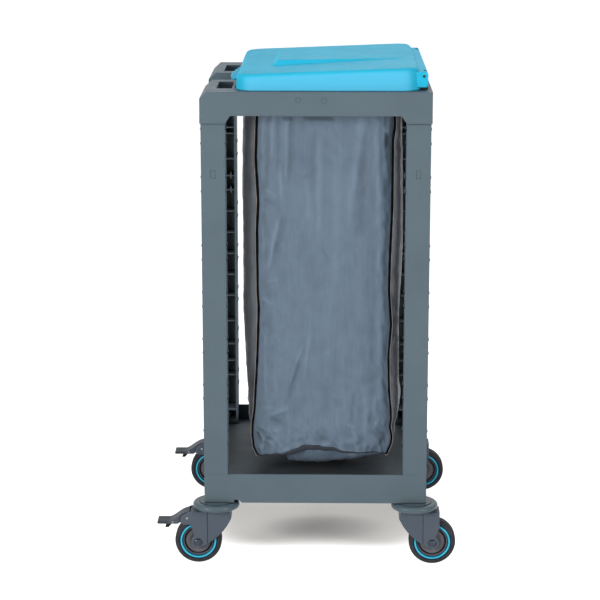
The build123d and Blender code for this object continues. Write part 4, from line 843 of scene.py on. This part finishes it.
folded_mesh = cloth_mesh("bag_folded", folded_points)
directions = np.empty(folded_points.size, np.float32)
folded_mesh.vertex_normals.foreach_get("vector", directions)
directions = directions.reshape(-1, 3)
bpy.data.meshes.remove(folded_mesh)
creased_points = folded_points.copy()
crests = np.zeros(len(folded_points))
crests[rows_below_hem] = rise
for number, place in enumerate(folded_points):
    detail = crease[number] * (noise.ridged_multi_fractal(Vector(place * CREASES_PER_METRE), *RIDGES) - 1.0)
    detail += STREAK * share[number] * noise.noise(Vector(place * STREAKS_PER_METRE))
    crests[number] += detail
    swell = UNEVEN * share[number] * noise.noise(Vector(place * UNEVEN_PER_METRE))
    creased_points[number] += directions[number] * (detail + swell)
bag = show("bag_cloth", cloth_mesh("bag_creased", creased_points))
crest_layer = bag.data.attributes.new(CREST_MAP, "FLOAT", "POINT")
crest_layer.data.foreach_set("value", np.clip(0.5 + 0.5 * crests / CREST_FULL, 0.0, 1.0).astype(np.float32))
print("deepest crease:", round(1000 * np.linalg.norm(creased_points - folded_points, axis=1).max(), 2), "mm")

# %% [markdown]
# ## A tube along a seam
#
# Tape and piping are tubes that follow the seam's own points. A tube needs a frame at every point: the direction along
# the seam, the direction out of the panel, and the one across both. Its section is an oval, which may be pushed aside,
# and its width may change along the way.

# %% A tube along a seam
TUBE_SIDES = 10
TUBE_CUT = 0.0012  # metres of flat cloth for each side of a tube


def tube_rings(line, out, half_wide, half_thick, aside, lift):
    """Oval rings along a line of points, pushed aside and lifted off the cloth."""
    half_wide = np.broadcast_to(half_wide, len(line))[:, None, None]
    aside = np.broadcast_to(aside, len(line))[:, None]
    smooth = line.copy()
    smooth[1:-1] = (line[:-2] + 2 * line[1:-1] + line[2:]) / 4
    along = unit(np.gradient(smooth, axis=0))
    across = unit(np.cross(along, out))
    up = np.cross(across, along)
    middle = smooth + across * aside + up * lift
    turns = np.linspace(0, 2 * math.pi, TUBE_SIDES, endpoint=False)[None, :, None]
    return middle[:, None] + across[:, None] * half_wide * np.cos(turns) + up[:, None] * half_thick * np.sin(turns)


def swept(name, line, out, half_wide, half_thick, aside, lift, material):
    """Tube along a line of points, which rides on the frame as part of the bag."""
    places = tube_rings(line, out, half_wide, half_thick, aside, lift)
    rings, squares = ring_squares(len(line), TUBE_SIDES)
    mesh = new_mesh(name, places.reshape(-1, 3).tolist(), squares + [rings[0][::-1], rings[-1]], material)
    layer = mesh.uv_layers.new(name=CUT_MAP)
    for corner, vertex in zip(layer.data, [number for polygon in mesh.polygons for number in polygon.vertices]):
        corner.uv = (vertex % TUBE_SIDES * TUBE_CUT, vertex // TUBE_SIDES * CLOTH_STEP)
    mesh.shade_smooth()
    piece = show(name, mesh)
    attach(piece, "frame")
    return piece


print("a tube has", TUBE_SIDES, "sides")

# %% [markdown]
# ## Binding and piping
#
# Black tape binds the two upright seams of the front and of the back panel, and a thin pale piping runs beside it. The
# lower edge has a dark tape that is partly real binding and partly painted shade: it is widest where the base sags away
# from the edge, in the edge's shadow. Sewn tape is never equally wide, so a noise changes the width of the upright
# ones.

# %% Binding and piping
BINDING_HALF = metres((220, 1.6), (300, 1.9), (600, 2.4), (950, 2.9))  # by height, up the seams
BINDING_SPREAD, LUMPS_PER_METRE = 0.3, 45
# the lower tape is a dark sheet of painted shade where it is wide, under the lower edge where the base sags
FOOT_HALF = metres((-136, 1), (-85, 1.3), (-64, 4.8), (-30, 5.6), (10, 4.6), (45, 2.4), (90, 1.3),
                   (135, 1))  # across the front
FOOT_OVERLAP = 0.0008  # of the lower tape on its panel
TAPE = {"half_thick": 0.0013, "aside": 0.0006, "lift": 0.0006, "material": tape_nylon}
FOOT_TAPE_AND_SHADE = {"half_thick": 0.0010, "lift": 0.0004, "material": foot_tape_and_shade_nylon}
PIPING = {"half_wide": 0.0008, "half_thick": 0.0009, "aside": 0.0043, "lift": 0.0003, "material": piping_nylon}


def seam(column):
    """Points down an upright seam, from the hoop to just above the lower edge."""
    return creased_points[wall_numbers[HEM_ROWS:-1, column]]


def binding_half(place):
    """Half the width of the upright tape at a place on its seam."""
    lump = noise.noise(Vector(place) * LUMPS_PER_METRE)
    return at_height(BINDING_HALF, place[2]) * (1 + BINDING_SPREAD * lump)


for face, first, out in (("front", 0, (0, -1, 0)), ("back", SEAM_COLUMNS[2], (0, 1, 0))):
    second = first + FACE_COLUMNS
    along = creased_points[wall_numbers[-1, first:second + 1]]
    halves = np.interp(-out[1] * (along[:, 0] - BAG_MIDDLE), *FOOT_HALF.T)
    swept(face + "_foot_binding_and_shade", along, out, halves, aside=halves - FOOT_OVERLAP, **FOOT_TAPE_AND_SHADE)
    for side, points in (("first", (seam(first), along[:2])), ("second", (along[-2:], seam(second)[::-1]))):
        line, seam_name = np.concatenate(points), face + "_" + side
        swept(seam_name + "_binding", line, out, [binding_half(place) for place in line], **TAPE)
        swept(seam_name + "_piping", line, out, **PIPING)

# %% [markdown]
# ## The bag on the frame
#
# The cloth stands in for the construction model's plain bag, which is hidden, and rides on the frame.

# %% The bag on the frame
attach(bag, "frame")
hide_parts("bag")
base_plan = row_plan(BASE_HEIGHT)

# %% [markdown]
# ## Floor
#
# The cart stands on a plain white floor under soft studio light. A white backdrop could be made by turning the lamps
# up until everything burns out, but that would bleach the cart too. Instead the floor and the sky glow only for rays
# that come straight from the camera, or by way of a mirror or glass, and the lamps stay at a plain level. The floor
# takes the cart's real shadow, because its glow is only part of its brightness; under the cart it also glows less,
# warmer and with a darker core, which is a painted shadow.

# %% Floor
FLOOR_HALF = 30.0
FLOOR_COLOUR, FLOOR_ROUGHNESS = (0.82, 0.81, 0.80, 1.0), 0.9
OPEN_GLOW = 1.0  # of the floor in the open
# painted shadow: the floor glows less under the cart, warmer, and least of all in a core
SHADE_GLOW = 0.36  # of the floor under the cart
SHADE_TINT = (1.0, 0.970, 0.925, 1.0)
SHADE_MIDDLE, SHADE_HALF = (0.03, 0.055, 0.0), (0.24, 0.19, 1.0)  # metres
SHADE_EDGE = (0.35, 2.2)  # fourth powers of the distance, from full shade to none
CORE_SHARE = 0.58  # of that glow, in the darkest place
CORE_MIDDLE, CORE_HALF = (0.04, -0.033, 0.0), (0.17, 0.10, 1.0)


def seen_directly(near):
    """Value socket that is 1 for camera, glossy and transmission rays."""
    path = add_node(near, "LightPath").outputs
    camera_or_mirror = of_two("Math", "MAXIMUM", path["Is Camera Ray"], path["Is Glossy Ray"])
    return of_two("Math", "MAXIMUM", camera_or_mirror, path["Is Transmission Ray"])


def squares_away(place, middle, half):
    """Squares of the distances from a middle, counted in half sizes."""
    inputs = {"Vector": place, "Location": middle, "Scale": half}
    away = add_node(place, "Mapping", inputs, vector_type="TEXTURE").outputs["Vector"]
    return of_two("VectorMath", "MULTIPLY", away, away, "Vector")


def eased(value, ends, low_result, high_result):
    """Value socket that goes smoothly from one result to another."""
    inputs = {"Value": value, "From Min": ends[0], "From Max": ends[1], "To Min": low_result, "To Max": high_result}
    return add_node(value, "MapRange", inputs, interpolation_type="SMOOTHSTEP").outputs["Result"]


def studio_floor():
    """Finish of a pale floor that keeps shadows, looks white in the open, and has a painted shadow under the cart."""
    material, shader, place = new_finish("studio_floor", FLOOR_COLOUR, FLOOR_ROUGHNESS, 0.0)
    squares = squares_away(place, SHADE_MIDDLE, SHADE_HALF)
    level = eased(of_two("VectorMath", "DOT_PRODUCT", squares, squares), SHADE_EDGE, SHADE_GLOW, OPEN_GLOW)
    core_squares = squares_away(place, CORE_MIDDLE, CORE_HALF)
    core_distance = of_two("VectorMath", "DOT_PRODUCT", core_squares, (1.0, 1.0, 1.0))
    glow = product(level, eased(core_distance, (0.0, 1.0), CORE_SHARE, 1.0))
    fill(shader, {"Emission Color": between(level, (SHADE_GLOW, OPEN_GLOW), SHADE_TINT, grey(1.0)),
                  "Emission Strength": product(glow, seen_directly(place))})
    return material


corners = [(x * FLOOR_HALF, y * FLOOR_HALF, 0) for x, y in ((-1, -1), (1, -1), (1, 1), (-1, 1))]
floor = show("floor", new_mesh("floor", corners, [(0, 1, 2, 3)], studio_floor()))
print("floor is", 2 * FLOOR_HALF, "m wide")

# %% [markdown]
# ## Sky
#
# The sky is white where it is seen, and gives only a faint light to everything else, so that no shadow is quite black.

# %% Sky
SKY_LIGHT = 0.06

world = bpy.data.worlds.new("studio")
bpy.context.scene.world = world
world.use_nodes = True
sky = world.node_tree.nodes["Background"]
strength = add_node(sky, "MapRange", {"Value": seen_directly(sky), "To Min": SKY_LIGHT, "To Max": 1.0})
fill(sky, {"Color": grey(1.0), "Strength": strength.outputs["Result"]})
print("sky light:", SKY_LIGHT)

# %% [markdown]
# ## Lamps
#
# Two large soft boxes stand in front of the cart, one to each side and a little above it, as in a shop's photo corner.
# The light comes across the channels of the uprights and over the tray's rim, so their insides stay dark, while the
# faces that look at the camera get light from both sides. A weaker box overhead lights the lid's top, and one high at
# the back keeps the back of the cart readable when the camera walks round it.

# %% Lamps
# name, place, the point that it faces, size in metres, power in watts
LAMPS = (
    ("left_box", (-2.85, -2.85, 1.45), (0, 0, 0.6), 1.3, 88.0),
    ("right_box", (2.85, -2.85, 1.45), (0, 0, 0.6), 1.3, 61.0),
    ("top_box", (0.0, -0.9, 3.6), (0, 0, 0.9), 2.0, 22.0),
    ("back_box", (0.5, 2.4, 3.0), (0, 0, 0.8), 1.8, 26.0),
)

for name, place, target, size, power in LAMPS:
    lamp_data = bpy.data.lights.new(name, "AREA")
    lamp_data.size = size
    lamp_data.energy = power
    lamp = show(name, lamp_data)
    lamp.location = place
    lamp.rotation_euler = (Vector(target) - Vector(place)).to_track_quat("-Z", "Y").to_euler()
bpy.context.scene.view_settings.view_transform = "Standard"
print("lamps:", [lamp[0] for lamp in LAMPS])
